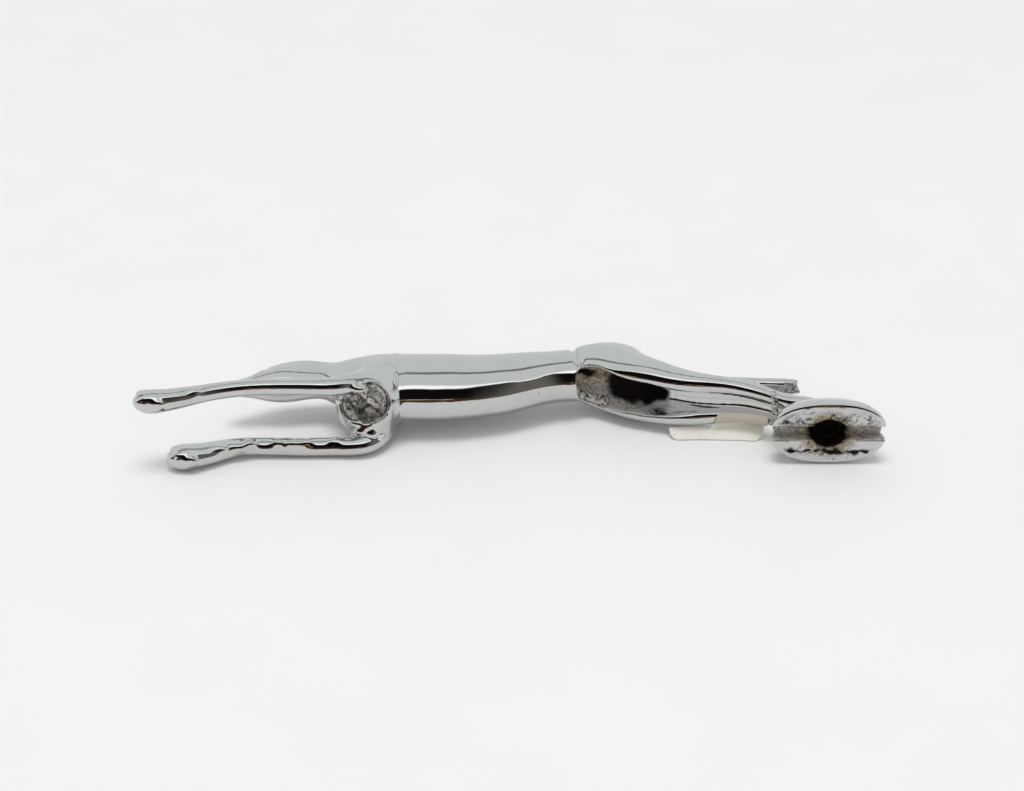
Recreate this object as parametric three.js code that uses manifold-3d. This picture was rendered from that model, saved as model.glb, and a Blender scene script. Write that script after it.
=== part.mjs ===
// A leaping-hound hood ornament: plated castings pinned and brazed to each other and to an oval
// pedestal that stands on the hood of a car. Millimetres.
//
// The ornament lies on its right flank, as it does off the car: +Z is up and away from the surface,
// +Y runs from the pedestal's mounting face to the hound's back, and -X is the way the hound leaps.
// A "station" is one cross-section of a limb: [x, y, w, depth, width]. x and y are its centre, w is
// how far it lies to the hound's left of the middle plane, depth is its half size in the XY plane and
// width its half size across.
import * as THREE from 'three';
import { mergeVertices } from 'three/addons/utils/BufferGeometryUtils.js';
import Module from 'manifold-3d';

const wasm = await Module();
wasm.setup();

// ---------------------------------------------------------------- driving dimensions
const GAP = 0.3; // clearance kept between touching castings
const PEDESTAL = { x: 86.8, z: 9.9, halfLength: 15.75, halfWidth: 9.15, height: 8.6, squareness: 2.35 };
const MID_AT_PEDESTAL = 10.2; // height of the hound's middle plane over the table, at the pedestal
const LEAN = -0.0117; // the middle plane climbs this much for each millimetre towards the nose
const SLOT = { width: 3.9, depth: 4.4 }; // channel along the pedestal's underside
const STUD_HOLE = { radius: 4.6, depth: 7.4 };
const INSERT = { radius: 4.3, bore: 3.2, from: 4.7, to: 7.1 };
const FOOT_BEAD = { x: 73.4, y: 9.1, radius: 1.5, span: 6.0 }; // solder run in front of the feet
const FORELEG_JOINT = {
  w: 5.6, front: -52.0, rear: -31.5, top: 21.0, // the rebate in the shoulder, seen from the side
  corner: 5, // rounding of its upper rear corner
  slope: { run: 8.5, drop: 7 }, // its upper front corner is cut off
  xShoulder: -40, xForearm: -70, // where its two level joint planes take their heights
};
const HINDLEG_JOINT = {
  w: 3.4, front: 18.5, shank: 46.0, top: 23.8, // the rebate in the rump, seen from the side
  pad: [[50, 23.8], [46, 25.3], [36, 33], [28, 38], [22, 38], [18.5, 34]], // its upper edge
  xThigh: 32, xShank: 66,
};
const TAIL_JOINT_X = 52.0;
const PIN_RADIUS = 1.0;
const FOOT_PIN_RADIUS = 0.8;
const FAR = 130; // past every side of the object

const midPlane = (x) => MID_AT_PEDESTAL + LEAN * (x - PEDESTAL.x);

// ---------------------------------------------------------------- the hound's stations
const TORSO = [
  [-79.2, 20.9, 0, 1.1, 1.2], // nose
  [-77.5, 21.2, 0, 2.2, 2.2],
  [-74.0, 22.0, 0, 2.9, 3.0], // muzzle
  [-70.0, 23.2, 0, 4.0, 4.3],
  [-64.0, 24.6, 0, 5.5, 5.4], // skull
  [-58.0, 25.6, 0, 5.6, 4.8],
  [-52.0, 25.8, 0, 6.0, 4.8], // neck
  [-45.5, 24.6, 0, 8.6, 6.6],
  [-38.0, 23.2, 0, 11.2, 8.6], // shoulders
  [-28.0, 22.9, 0, 11.7, 8.9], // chest
  [-17.5, 23.3, 0, 11.6, 8.8],
  [-9.0, 24.2, 0, 10.8, 8.4],
  [-3.5, 25.3, 0, 10.1, 8.2],
  [3.0, 27.5, 0, 9.1, 7.8],
  [9.5, 29.4, 0, 8.3, 7.3], // loin
  [18.0, 31.0, 0, 8.6, 7.2],
  [28.0, 31.8, 0, 9.2, 7.0], // rump
  [38.0, 30.4, 0, 6.6, 5.4],
  [46.5, 28.4, 0, 3.9, 3.5],
  [54.0, 26.9, 0, 2.4, 2.6],
];
const TAIL = [
  [48.0, 28.1, 0, 3.4, 3.2],
  [54.0, 26.9, 0, 2.4, 2.6],
  [62.0, 26.2, 0, 2.0, 2.5],
  [72.0, 25.9, 0, 1.9, 2.4],
  [79.0, 25.6, 0, 1.8, 2.3],
  [81.5, 25.5, 0, 1.5, 2.0], // cut-off tip
];
const EAR = [
  [-65.5, 27.2, 3.7, 0.9, 0.7],
  [-61.0, 28.3, 3.9, 1.6, 1.0],
  [-56.0, 28.8, 3.9, 1.5, 0.9],
  [-51.5, 28.8, 3.7, 0.6, 0.5],
];
const LEFT_FORELEG = [
  [-101.8, -2.0, 8.9, 0.9, 1.0], // toes
  [-99.8, -1.9, 8.9, 2.6, 2.7],
  [-95.5, -1.3, 8.9, 3.3, 3.3], // paw
  [-90.5, 0.3, 8.9, 3.0, 2.9],
  [-84.5, 2.6, 9.0, 2.6, 2.5],
  [-77.0, 5.0, 9.1, 2.3, 2.35], // wrist
  [-66.0, 6.6, 9.1, 2.3, 2.4],
  [-56.0, 6.9, 9.1, 2.5, 2.5],
  [-48.5, 6.9, 9.0, 2.9, 2.7],
  [-43.4, 8.4, 8.7, 3.4, 2.8], // elbow
  [-39.8, 12.2, 7.9, 3.8, 3.0],
  [-37.2, 18.0, 6.5, 4.7, 3.2], // shoulder
  [-38.0, 24.5, 4.9, 4.4, 3.0],
];
const RIGHT_FORELEG = [
  [-93.6, -2.2, -8.7, 1.1, 1.1],
  [-91.8, -2.0, -8.7, 3.0, 3.0],
  [-88.0, -1.2, -8.6, 3.9, 3.5],
  [-82.5, 1.2, -8.8, 3.4, 3.0],
  [-76.0, 4.2, -8.9, 2.8, 2.6],
  [-68.0, 5.0, -9.0, 2.6, 2.5],
  [-57.0, 5.0, -9.0, 2.65, 2.6],
  [-47.0, 5.2, -8.8, 2.9, 2.7],
  [-40.5, 6.3, -8.2, 3.6, 2.9],
  [-36.8, 11.0, -7.4, 3.7, 3.1],
  [-36.0, 18.0, -6.4, 4.6, 3.2],
  [-38.0, 24.5, -4.9, 4.4, 3.0],
];
const HINDLEG = [
  [21.0, 32.8, 3.8, 6.4, 3.6], // hip
  [27.5, 29.8, 5.0, 6.8, 4.1],
  [34.0, 25.4, 5.5, 6.4, 4.1], // thigh
  [40.0, 22.0, 5.6, 5.2, 3.8],
  [46.0, 19.4, 5.4, 4.2, 3.3], // knee
  [53.0, 18.1, 5.1, 3.2, 2.8],
  [60.0, 17.8, 4.6, 2.7, 2.4],
  [66.5, 16.9, 4.0, 2.7, 2.2], // hock
  [72.5, 13.8, 3.5, 2.1, 1.9],
  [77.5, 11.1, 3.2, 2.3, 2.3], // foot
  [83.0, 9.4, 3.0, 2.0, 2.6],
  [87.8, 8.7, 2.9, 0.9, 1.2],
];
// The thin web that joins the hind legs behind the trough between them.
const WEB = [
  [38.0, 25.2, 0, 1.6, 6.0],
  [46.0, 22.0, 0, 1.2, 5.4],
  [53.0, 20.0, 0, 1.0, 4.9],
  [60.0, 19.2, 0, 0.9, 4.4],
  [66.5, 17.8, 0, 0.9, 3.8],
  [72.0, 14.9, 0, 0.9, 3.3],
  [76.5, 12.4, 0, 0.9, 3.0],
];
// The bridge of metal between the elbows, the shell that the brisket hollow opens into.
const BRISKET = [
  [-45.4, 14.4, 0, 3.8, 6.6],
  [-42.8, 12.4, 0, 5.8, 8.2],
  [-39.2, 11.8, 0, 6.4, 8.4],
  [-35.4, 15.0, 0, 4.6, 7.2],
];
const BRISKET_HOLLOW = [
  [-45.4, 8.0, 3.0, 2.0, 3.2],
  [-43.8, 8.2, 2.9, 3.9, 4.9],
  [-41.2, 8.4, 2.6, 5.0, 6.0],
  [-38.6, 8.6, 2.2, 4.3, 5.2],
  [-36.8, 8.8, 2.0, 2.0, 2.9],
];
const GROIN_HOLLOW = [
  [18.2, 26.0, 0, 2.2, 5.2],
  [21.5, 25.0, 0, 4.4, 5.9],
  [30.0, 21.8, 0, 6.5, 5.6],
  [38.0, 18.4, 0, 6.0, 5.0],
  [46.0, 15.6, 0, 4.2, 3.9],
  [54.0, 14.9, 0, 2.6, 2.4],
  [60.0, 15.0, 0, 1.0, 1.0],
];
// The lump of filler metal on the groin hollow's front wall.
const GROIN_FILL = [
  [18.6, 25.4, -1.2, 1.4, 2.2],
  [20.6, 26.6, -2.4, 1.8, 2.4],
  [23.4, 26.8, -3.0, 1.6, 2.0],
  [26.0, 26.6, -3.2, 1.0, 1.3],
];
const BRISKET_FILL_LEVEL = 11.4; // the filler metal's free surface under the hollow's roof
// The dome's profile: share of the full oval, height over the mounting face.
const DOME_PROFILE = [
  [0, 0], [1, 0], [1.01, 1.6], [0.99, 3.4], [0.92, 5.4], [0.8, 7.2], [0.66, 8.2], [0.5, 8.6], [0, 8.6],
];
const LABEL = {
  x: 44.6, length: 26.4, thickness: 0.3, turn: -0.06, // it leans a little towards the feet
  section: [[13.75, 5.0], [13.7, 3.6], [13.4, 1.9], [13.0, 0.45]], // [y, z] down to its curled edge
};

// ---------------------------------------------------------------- solids
/** A closed three.js geometry as a manifold-3d solid. */
function solid(geometry) {
  const bare = geometry.clone();
  bare.deleteAttribute('normal');
  bare.deleteAttribute('uv');
  const merged = mergeVertices(bare, 1e-4);
  return new wasm.Manifold(
    new wasm.Mesh({
      numProp: 3,
      vertProperties: new Float32Array(merged.attributes.position.array),
      triVerts: new Uint32Array(merged.index.array),
    }),
  );
}

/** A manifold-3d solid as a three.js geometry. */
function geometryOf(body) {
  const mesh = body.getMesh();
  const geometry = new THREE.BufferGeometry();
  geometry.setAttribute('position', new THREE.BufferAttribute(mesh.vertProperties, 3));
  geometry.setIndex(new THREE.BufferAttribute(mesh.triVerts, 1));
  geometry.computeVertexNormals();
  return geometry;
}

/** The same stations on the hound's other side. */
const mirrored = (stations) => stations.map(([x, y, w, depth, width]) => [x, y, -w, depth, width]);

/**
 * A limb: a capped cylinder bent along its stations, with an oval section that follows them.
 * grow is added to every half size.
 */
function limb(stations, sides, steps, grow = 0) {
  const spine = new THREE.CatmullRomCurve3(
    stations.map(([x, y, w]) => new THREE.Vector3(x, y, midPlane(x) + w)),
  );
  const sizes = new THREE.CatmullRomCurve3(
    stations.map(([, , , depth, width]) => new THREE.Vector3(depth, width, 0)),
  );
  const geometry = new THREE.CylinderGeometry(1, 1, 1, sides, steps);
  const position = geometry.attributes.position;
  const centre = new THREE.Vector3();
  const size = new THREE.Vector3();
  const tangent = new THREE.Vector3();
  const across = new THREE.Vector3();
  const along = new THREE.Vector3();
  for (let i = 0; i < position.count; i++) {
    const t = 0.5 - position.getY(i);
    spine.getPoint(t, centre);
    spine.getTangent(t, tangent);
    sizes.getPoint(t, size);
    across.set(0, 0, 1).addScaledVector(tangent, -tangent.z).normalize();
    along.crossVectors(tangent, across);
    centre.addScaledVector(across, position.getX(i) * (size.y + grow));
    centre.addScaledVector(along, position.getZ(i) * (size.x + grow));
    position.setXYZ(i, centre.x, centre.y, centre.z);
  }
  return solid(geometry);
}

/** An outline in the XY plane, extruded from z low to z high. */
function prism(points, low, high) {
  const shape = new THREE.Shape(points.map(([x, y]) => new THREE.Vector2(x, y)));
  const geometry = new THREE.ExtrudeGeometry(shape, { depth: high - low, bevelEnabled: false });
  return solid(geometry.translate(0, 0, low));
}

/** A box between two corners. */
function block(x0, y0, z0, x1, y1, z1) {
  const geometry = new THREE.BoxGeometry(x1 - x0, y1 - y0, z1 - z0);
  return solid(geometry.translate((x0 + x1) / 2, (y0 + y1) / 2, (z0 + z1) / 2));
}

/** A round rod along 'x', 'y' or 'z', from its start point over its length. */
function rod(axis, x, y, z, length, radius, sides = 16) {
  const geometry = new THREE.CylinderGeometry(radius, radius, length, sides).translate(0, length / 2, 0);
  if (axis === 'x') geometry.rotateZ(-Math.PI / 2);
  if (axis === 'z') geometry.rotateX(Math.PI / 2);
  return solid(geometry.translate(x, y, z));
}

/** Adds a list of solids together. */
const joined = (bodies) => bodies.reduce((sum, body) => sum.add(body));

// ---------------------------------------------------------------- the whole figure, before it is split
// Stations, sides of the section, steps along the spine.
const FIGURE_LIMBS = [
  [TORSO, 20, 46],
  [TAIL, 12, 12],
  [EAR, 8, 8],
  [mirrored(EAR), 8, 8],
  [LEFT_FORELEG, 12, 34],
  [RIGHT_FORELEG, 12, 34],
  [HINDLEG, 12, 32],
  [mirrored(HINDLEG), 12, 32],
  [BRISKET, 16, 8],
  [WEB, 10, 18],
];
const brisketHollow = (grow = 0) => limb(BRISKET_HOLLOW, 16, 12, grow);
const groinHollow = (grow = 0) => limb(GROIN_HOLLOW, 14, 18, grow);
const overPedestal = block(TAIL_JOINT_X, -FAR, -FAR, FAR, PEDESTAL.height, FAR); // where no hound is

const figure = joined(FIGURE_LIMBS.map(([stations, sides, steps]) => limb(stations, sides, steps)))
  .subtract(brisketHollow())
  .subtract(groinHollow())
  .subtract(overPedestal);

// ---------------------------------------------------------------- where the castings meet
/** The side view of the shoulder pad that the foreleg casting takes. */
function shoulderOutline(grow) {
  const { rear, top, front, corner, slope } = FORELEG_JOINT;
  const steps = 4;
  const points = [[front - grow, -FAR], [rear + grow, -FAR]];
  for (let i = 0; i <= steps; i++) {
    const a = (i / steps) * (Math.PI / 2);
    points.push([rear + grow - corner * (1 - Math.cos(a)), top + grow - corner * (1 - Math.sin(a))]);
  }
  points.push([front + slope.run, top + grow], [front - grow, top - slope.drop + grow]);
  return points;
}

/** The side view of the thigh pad that the hind leg casting takes. */
function thighOutline(grow) {
  const { front, pad } = HINDLEG_JOINT;
  const edge = pad.map(([x, y]) => [x === front ? x - grow : x, y + grow]);
  return [[front - grow, -FAR], [pad[0][0], -FAR], ...edge];
}

/** Everything to one side of a level plane that a side view covers; side is +1 (left) or -1 (right). */
const beside = (side, plane, outline) =>
  side > 0 ? prism(outline, plane, FAR) : prism(outline, -FAR, plane);

/** The side view of a box. */
const rectangle = (x0, y0, x1, y1) => [[x0, y0], [x1, y0], [x1, y1], [x0, y1]];

/** Space taken by one foreleg: its shoulder pad, and in front of it the whole forearm and paw. */
function forelegSpace(side, grow) {
  const { front, w, top, slope, xShoulder, xForearm } = FORELEG_JOINT;
  const joint = midPlane(xShoulder) + side * (w - grow);
  const middle = midPlane(xForearm) + side * (GAP / 2 - grow);
  const forearm = rectangle(-FAR, -FAR, front + grow, top - slope.drop + grow);
  return beside(side, joint, shoulderOutline(grow)).add(beside(side, middle, forearm));
}

/** Space taken by one hind leg: its thigh pad, and below the knee everything to its side of the middle. */
function hindlegSpace(side, grow) {
  const { shank, top, w, xThigh, xShank } = HINDLEG_JOINT;
  const joint = midPlane(xThigh) + side * (w - grow);
  const middle = midPlane(xShank) + side * (GAP / 2 - grow);
  const below = rectangle(shank - grow, -FAR, FAR, top + grow);
  return beside(side, joint, thighOutline(grow)).add(beside(side, middle, below));
}

const tailSpace = (grow) =>
  block(TAIL_JOINT_X - grow, HINDLEG_JOINT.top + GAP - grow, -FAR, FAR, FAR, FAR);

// ---------------------------------------------------------------- locating pins
// Axis, start point, length, radius.
const PINS = {
  foreleg_pin_left: ['z', -35.5, 18.6, midPlane(-35.5) + 2.6, 5.4, PIN_RADIUS],
  foreleg_pin_right: ['z', -35.5, 18.6, midPlane(-35.5) - 8.0, 5.4, PIN_RADIUS],
  hindleg_pin_left: ['z', 28.5, 32.0, midPlane(28.5) + 1.0, 4.8, PIN_RADIUS],
  hindleg_pin_right: ['z', 28.5, 32.0, midPlane(28.5) - 5.8, 4.8, PIN_RADIUS],
  tail_pin: ['x', 48.6, 27.1, midPlane(52), 7.0, PIN_RADIUS],
  foot_pin_left: ['y', 78.6, 5.0, midPlane(78.6) + 3.1, 6.2, FOOT_PIN_RADIUS],
  foot_pin_right: ['y', 78.6, 5.0, midPlane(78.6) - 3.1, 6.2, FOOT_PIN_RADIUS],
};

/** The hole for one pin, longer and wider than it by the gap. */
function pinHole([axis, x, y, z, length, radius]) {
  const start = { x: [GAP, 0, 0], y: [0, GAP, 0], z: [0, 0, GAP] }[axis];
  return rod(axis, x - start[0], y - start[1], z - start[2], length + 2 * GAP, radius + GAP, 12);
}

const pinHoles = joined(Object.values(PINS).map(pinHole));

// ---------------------------------------------------------------- pedestal
/** The oval dome: a lathed profile stretched into a blunt oval, made bigger all round by grow. */
function dome(grow = 0) {
  const profile = DOME_PROFILE.map(([share, y]) => new THREE.Vector2(share, y));
  const geometry = new THREE.LatheGeometry(profile, 44);
  const position = geometry.attributes.position;
  const n = PEDESTAL.squareness;
  for (let i = 0; i < position.count; i++) {
    const angle = Math.atan2(position.getZ(i), position.getX(i));
    const round = (Math.abs(Math.cos(angle)) ** n + Math.abs(Math.sin(angle)) ** n) ** (-1 / n);
    position.setX(i, PEDESTAL.x + position.getX(i) * round * (PEDESTAL.halfLength + grow));
    position.setY(i, position.getY(i) * (1 + (2 * grow) / PEDESTAL.height) - grow);
    position.setZ(i, PEDESTAL.z + position.getZ(i) * round * (PEDESTAL.halfWidth + grow));
  }
  return solid(geometry);
}

/** A round hole or rod up the pedestal's own axis. */
const onAxis = (from, length, radius) => rod('y', PEDESTAL.x, from, PEDESTAL.z, length, radius, 32);

const channel = block(
  PEDESTAL.x - FAR, -1, PEDESTAL.z - SLOT.width / 2,
  PEDESTAL.x + FAR, SLOT.depth, PEDESTAL.z + SLOT.width / 2,
);
const pedestal = dome()
  .subtract(channel)
  .subtract(onAxis(-1, STUD_HOLE.depth + 1, STUD_HOLE.radius))
  .subtract(pinHoles);

const threadedInsert = onAxis(INSERT.from, INSERT.to - INSERT.from, INSERT.radius)
  .subtract(onAxis(0, FAR, INSERT.bore));

// ---------------------------------------------------------------- the split castings
const torso = figure
  .subtract(forelegSpace(1, GAP))
  .subtract(forelegSpace(-1, GAP))
  .subtract(hindlegSpace(1, GAP))
  .subtract(hindlegSpace(-1, GAP))
  .subtract(tailSpace(GAP))
  .subtract(pinHoles);

const castings = {
  torso,
  foreleg_left: figure.intersect(forelegSpace(1, 0)).subtract(pinHoles),
  foreleg_right: figure.intersect(forelegSpace(-1, 0)).subtract(pinHoles),
  hindleg_left: figure.intersect(hindlegSpace(1, 0)).subtract(pinHoles),
  hindleg_right: figure.intersect(hindlegSpace(-1, 0)).subtract(pinHoles),
  tail: figure.intersect(tailSpace(0)).subtract(pinHoles),
};

// Filler metal under the roof of the brisket hollow, on the groin hollow's front wall and at the feet.
const { w: jointW, xShoulder } = FORELEG_JOINT;
const underRoof = block(
  -FAR, BRISKET_FILL_LEVEL, midPlane(xShoulder) - jointW + 2 * GAP,
  FAR, FAR, midPlane(xShoulder) + jointW - 2 * GAP,
);
const brisketSolder = brisketHollow(-GAP).intersect(underRoof);
const groinSolder = groinHollow(-GAP).intersect(limb(GROIN_FILL, 12, 10));

const grownFeet = joined([
  limb(HINDLEG, 12, 32, GAP),
  limb(mirrored(HINDLEG), 12, 32, GAP),
  limb(WEB, 10, 18, GAP),
]);
const footSolder = solid(
  new THREE.CapsuleGeometry(FOOT_BEAD.radius, FOOT_BEAD.span, 5, 14)
    .rotateX(Math.PI / 2)
    .translate(FOOT_BEAD.x, FOOT_BEAD.y, midPlane(FOOT_BEAD.x)),
)
  .subtract(grownFeet)
  .subtract(dome(GAP));

// ---------------------------------------------------------------- paper label
/** A blank gummed label that hangs from the right shank and curls down to the table. */
function label() {
  const { section, thickness, length, turn, x } = LABEL;
  const outline = [...section, ...section.map(([y, z]) => [y - thickness, z]).reverse()];
  const shape = new THREE.Shape(outline.map(([y, z]) => new THREE.Vector2(y, z)));
  const geometry = new THREE.ExtrudeGeometry(shape, { depth: length, bevelEnabled: false });
  const upright = new THREE.Matrix4().makeBasis(
    new THREE.Vector3(0, 1, 0), new THREE.Vector3(0, 0, 1), new THREE.Vector3(1, 0, 0),
  );
  const edge = section[section.length - 1][0];
  geometry.applyMatrix4(upright).translate(0, -edge, 0).rotateZ(turn);
  return solid(geometry.translate(x, edge, 0));
}

// ---------------------------------------------------------------- the assembly
const FINISH = {
  chrome: { color: 0xd9dcdc, roughness: 0.06, metalness: 1 },
  solder: { color: 0x8b8985, roughness: 0.6, metalness: 0.8 },
  steel: { color: 0x4a3a30, roughness: 0.6, metalness: 0.8 },
  brass: { color: 0xb5984a, roughness: 0.35, metalness: 1 },
  paper: { color: 0xe6e2d4, roughness: 0.9, metalness: 0 },
};

const ornament = new THREE.Group();

/** Puts one solid into the assembly under its node name. */
function add(name, body, finish) {
  const mesh = new THREE.Mesh(geometryOf(body), new THREE.MeshStandardMaterial(FINISH[finish]));
  mesh.name = name;
  ornament.add(mesh);
}

for (const [name, body] of Object.entries(castings)) add(name, body, 'chrome');
add('pedestal', pedestal, 'chrome');
add('brisket_solder', brisketSolder, 'solder');
add('groin_solder', groinSolder, 'solder');
add('foot_solder', footSolder, 'solder');
add('threaded_insert', threadedInsert, 'steel');
for (const [name, pin] of Object.entries(PINS)) add(name, rod(...pin), 'brass');
add('paper_label', label(), 'paper');

// The origin is the middle of the underside of the whole box.
const bounds = new THREE.Box3().setFromObject(ornament);
const middle = bounds.getCenter(new THREE.Vector3());
ornament.position.set(-middle.x, -middle.y, -bounds.min.z);
ornament.updateMatrixWorld(true);

export default ornament;
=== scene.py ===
"""Looks of a leaping-hound hood ornament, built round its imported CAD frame.

The ornament lies on its right flank. Shapes are worked in the maker's own frame, in millimetres:
x grows towards the tail, y from the mounting face to the back, z up from the surface it lies on.
A station is one cross-section of a limb: x, y, offset to the hound's left, half depth, half width.
A bead is one lump: x, y, offset to the hound's left, radius.
"""

import logging
import math
from dataclasses import dataclass, field
from enum import Enum
from typing import Callable, Iterable, Sequence

import bmesh
import bpy
import numpy as np
import openvdb as vdb
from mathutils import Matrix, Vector


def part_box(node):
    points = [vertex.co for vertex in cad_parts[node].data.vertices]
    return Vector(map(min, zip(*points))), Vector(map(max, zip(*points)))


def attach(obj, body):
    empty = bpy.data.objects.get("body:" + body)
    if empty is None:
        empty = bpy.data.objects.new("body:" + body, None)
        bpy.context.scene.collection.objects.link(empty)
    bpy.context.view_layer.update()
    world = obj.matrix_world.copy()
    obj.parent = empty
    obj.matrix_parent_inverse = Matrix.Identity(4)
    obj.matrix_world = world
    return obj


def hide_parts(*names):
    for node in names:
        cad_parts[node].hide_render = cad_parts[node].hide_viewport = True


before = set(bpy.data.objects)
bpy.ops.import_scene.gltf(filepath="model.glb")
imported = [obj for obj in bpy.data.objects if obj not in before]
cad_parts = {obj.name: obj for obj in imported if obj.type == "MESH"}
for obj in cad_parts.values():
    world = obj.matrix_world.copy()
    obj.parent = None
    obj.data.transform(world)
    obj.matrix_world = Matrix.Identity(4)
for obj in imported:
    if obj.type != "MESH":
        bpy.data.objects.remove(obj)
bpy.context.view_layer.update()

log = logging.getLogger("ornament")

Station = tuple[float, float, float, float, float]
Bead = tuple[float, float, float, float]
Point = tuple[float, float, float]
Colour = tuple[float, float, float, float]

MM = 0.001
PEDESTAL_CENTRE = (86.8, 0.0, 9.9)
MID_AT_PEDESTAL = 10.2
LEAN = -0.0117  # rise of the middle plane for each millimetre towards the tail
SEAM = 0.05  # gap between two castings
OUTSIDE = 60.0  # past the ornament's sides, for cutting tools
PAST_END = 130.0  # past either end of it
BODY = "root"


class Side(Enum):
    """One side of the hound."""

    LEFT = 1
    RIGHT = -1


class Cut(Enum):
    """What a boolean does with its second solid."""

    AWAY = "DIFFERENCE"
    COMMON = "INTERSECT"


# ---------------------------------------------------------------- places and smooth stations
def origin_shift() -> np.ndarray:
    """Row-frame place of the maker's origin, in metres, from where the CAD pedestal is.

    Returns:
        Its x, y and z.
    """
    low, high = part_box("pedestal")
    centre = np.array([(low.x + high.x) / 2, low.y, (low.z + high.z) / 2])
    return centre - np.array(PEDESTAL_CENTRE) * MM


SHIFT = origin_shift()


def placed(points: np.ndarray) -> np.ndarray:
    """Points in the maker's millimetres as row-frame metres."""
    return np.asarray(points, float) * MM + SHIFT


def mid_plane(x: float) -> float:
    """Height of the hound's middle plane at x."""
    return MID_AT_PEDESTAL + LEAN * (x - PEDESTAL_CENTRE[0])


def mirrored(stations: Sequence[Station]) -> list[Station]:
    """The same stations on the hound's other side."""
    return [(x, y, -w, d, b) for x, y, w, d, b in stations]


def natural_spline(rows: np.ndarray, count: int) -> np.ndarray:
    """Samples a natural cubic spline through rows, spaced by their distance.

    Args:
        rows: one row of values for each station; the first three are its place.
        count: how many samples to give back.

    Returns:
        count rows.
    """
    gaps = np.maximum(np.linalg.norm(np.diff(rows[:, :3], axis=0), axis=1), 1e-6)
    knots = np.concatenate([[0.0], np.cumsum(gaps)])
    n = len(rows)
    system = np.eye(n)
    right = np.zeros_like(rows)
    for i in range(1, n - 1):
        system[i, i - 1] = gaps[i - 1]
        system[i, i] = 2 * (gaps[i - 1] + gaps[i])
        system[i, i + 1] = gaps[i]
        right[i] = 6 * ((rows[i + 1] - rows[i]) / gaps[i] - (rows[i] - rows[i - 1]) / gaps[i - 1])
    bend = np.linalg.solve(system, right)
    t = np.linspace(0, knots[-1], count)
    k = np.clip(np.searchsorted(knots, t, side="right") - 1, 0, n - 2)
    g = gaps[k][:, None]
    a = (knots[k + 1] - t)[:, None]
    b = (t - knots[k])[:, None]
    return (
        bend[k] * a**3 / (6 * g)
        + bend[k + 1] * b**3 / (6 * g)
        + (rows[k] / g - bend[k] * g / 6) * a
        + (rows[k + 1] / g - bend[k + 1] * g / 6) * b
    )


def spline_weights(coordinates: np.ndarray, size: float) -> tuple[np.ndarray, int]:
    """Cubic B-spline weights of each coordinate on a lattice of that spacing.

    Args:
        coordinates: places along one axis, in millimetres.
        size: lattice spacing in millimetres.

    Returns:
        The weight matrix, one row for each coordinate, and the lattice's length.
    """
    u = (coordinates - coordinates.min()) / size
    cell = np.floor(u).astype(int)
    f = u - cell
    count = int(cell.max()) + 4
    weights = np.zeros((len(u), count), np.float32)
    rows = np.arange(len(u))
    weights[rows, cell] = (1 - f) ** 3 / 6
    weights[rows, cell + 1] = (3 * f**3 - 6 * f**2 + 4) / 6
    weights[rows, cell + 2] = (-3 * f**3 + 3 * f**2 + 3 * f + 1) / 6
    weights[rows, cell + 3] = f**3 / 6
    return weights, count


# ---------------------------------------------------------------- modelling clay: a distance field
Window = tuple[slice, slice, slice]


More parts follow.
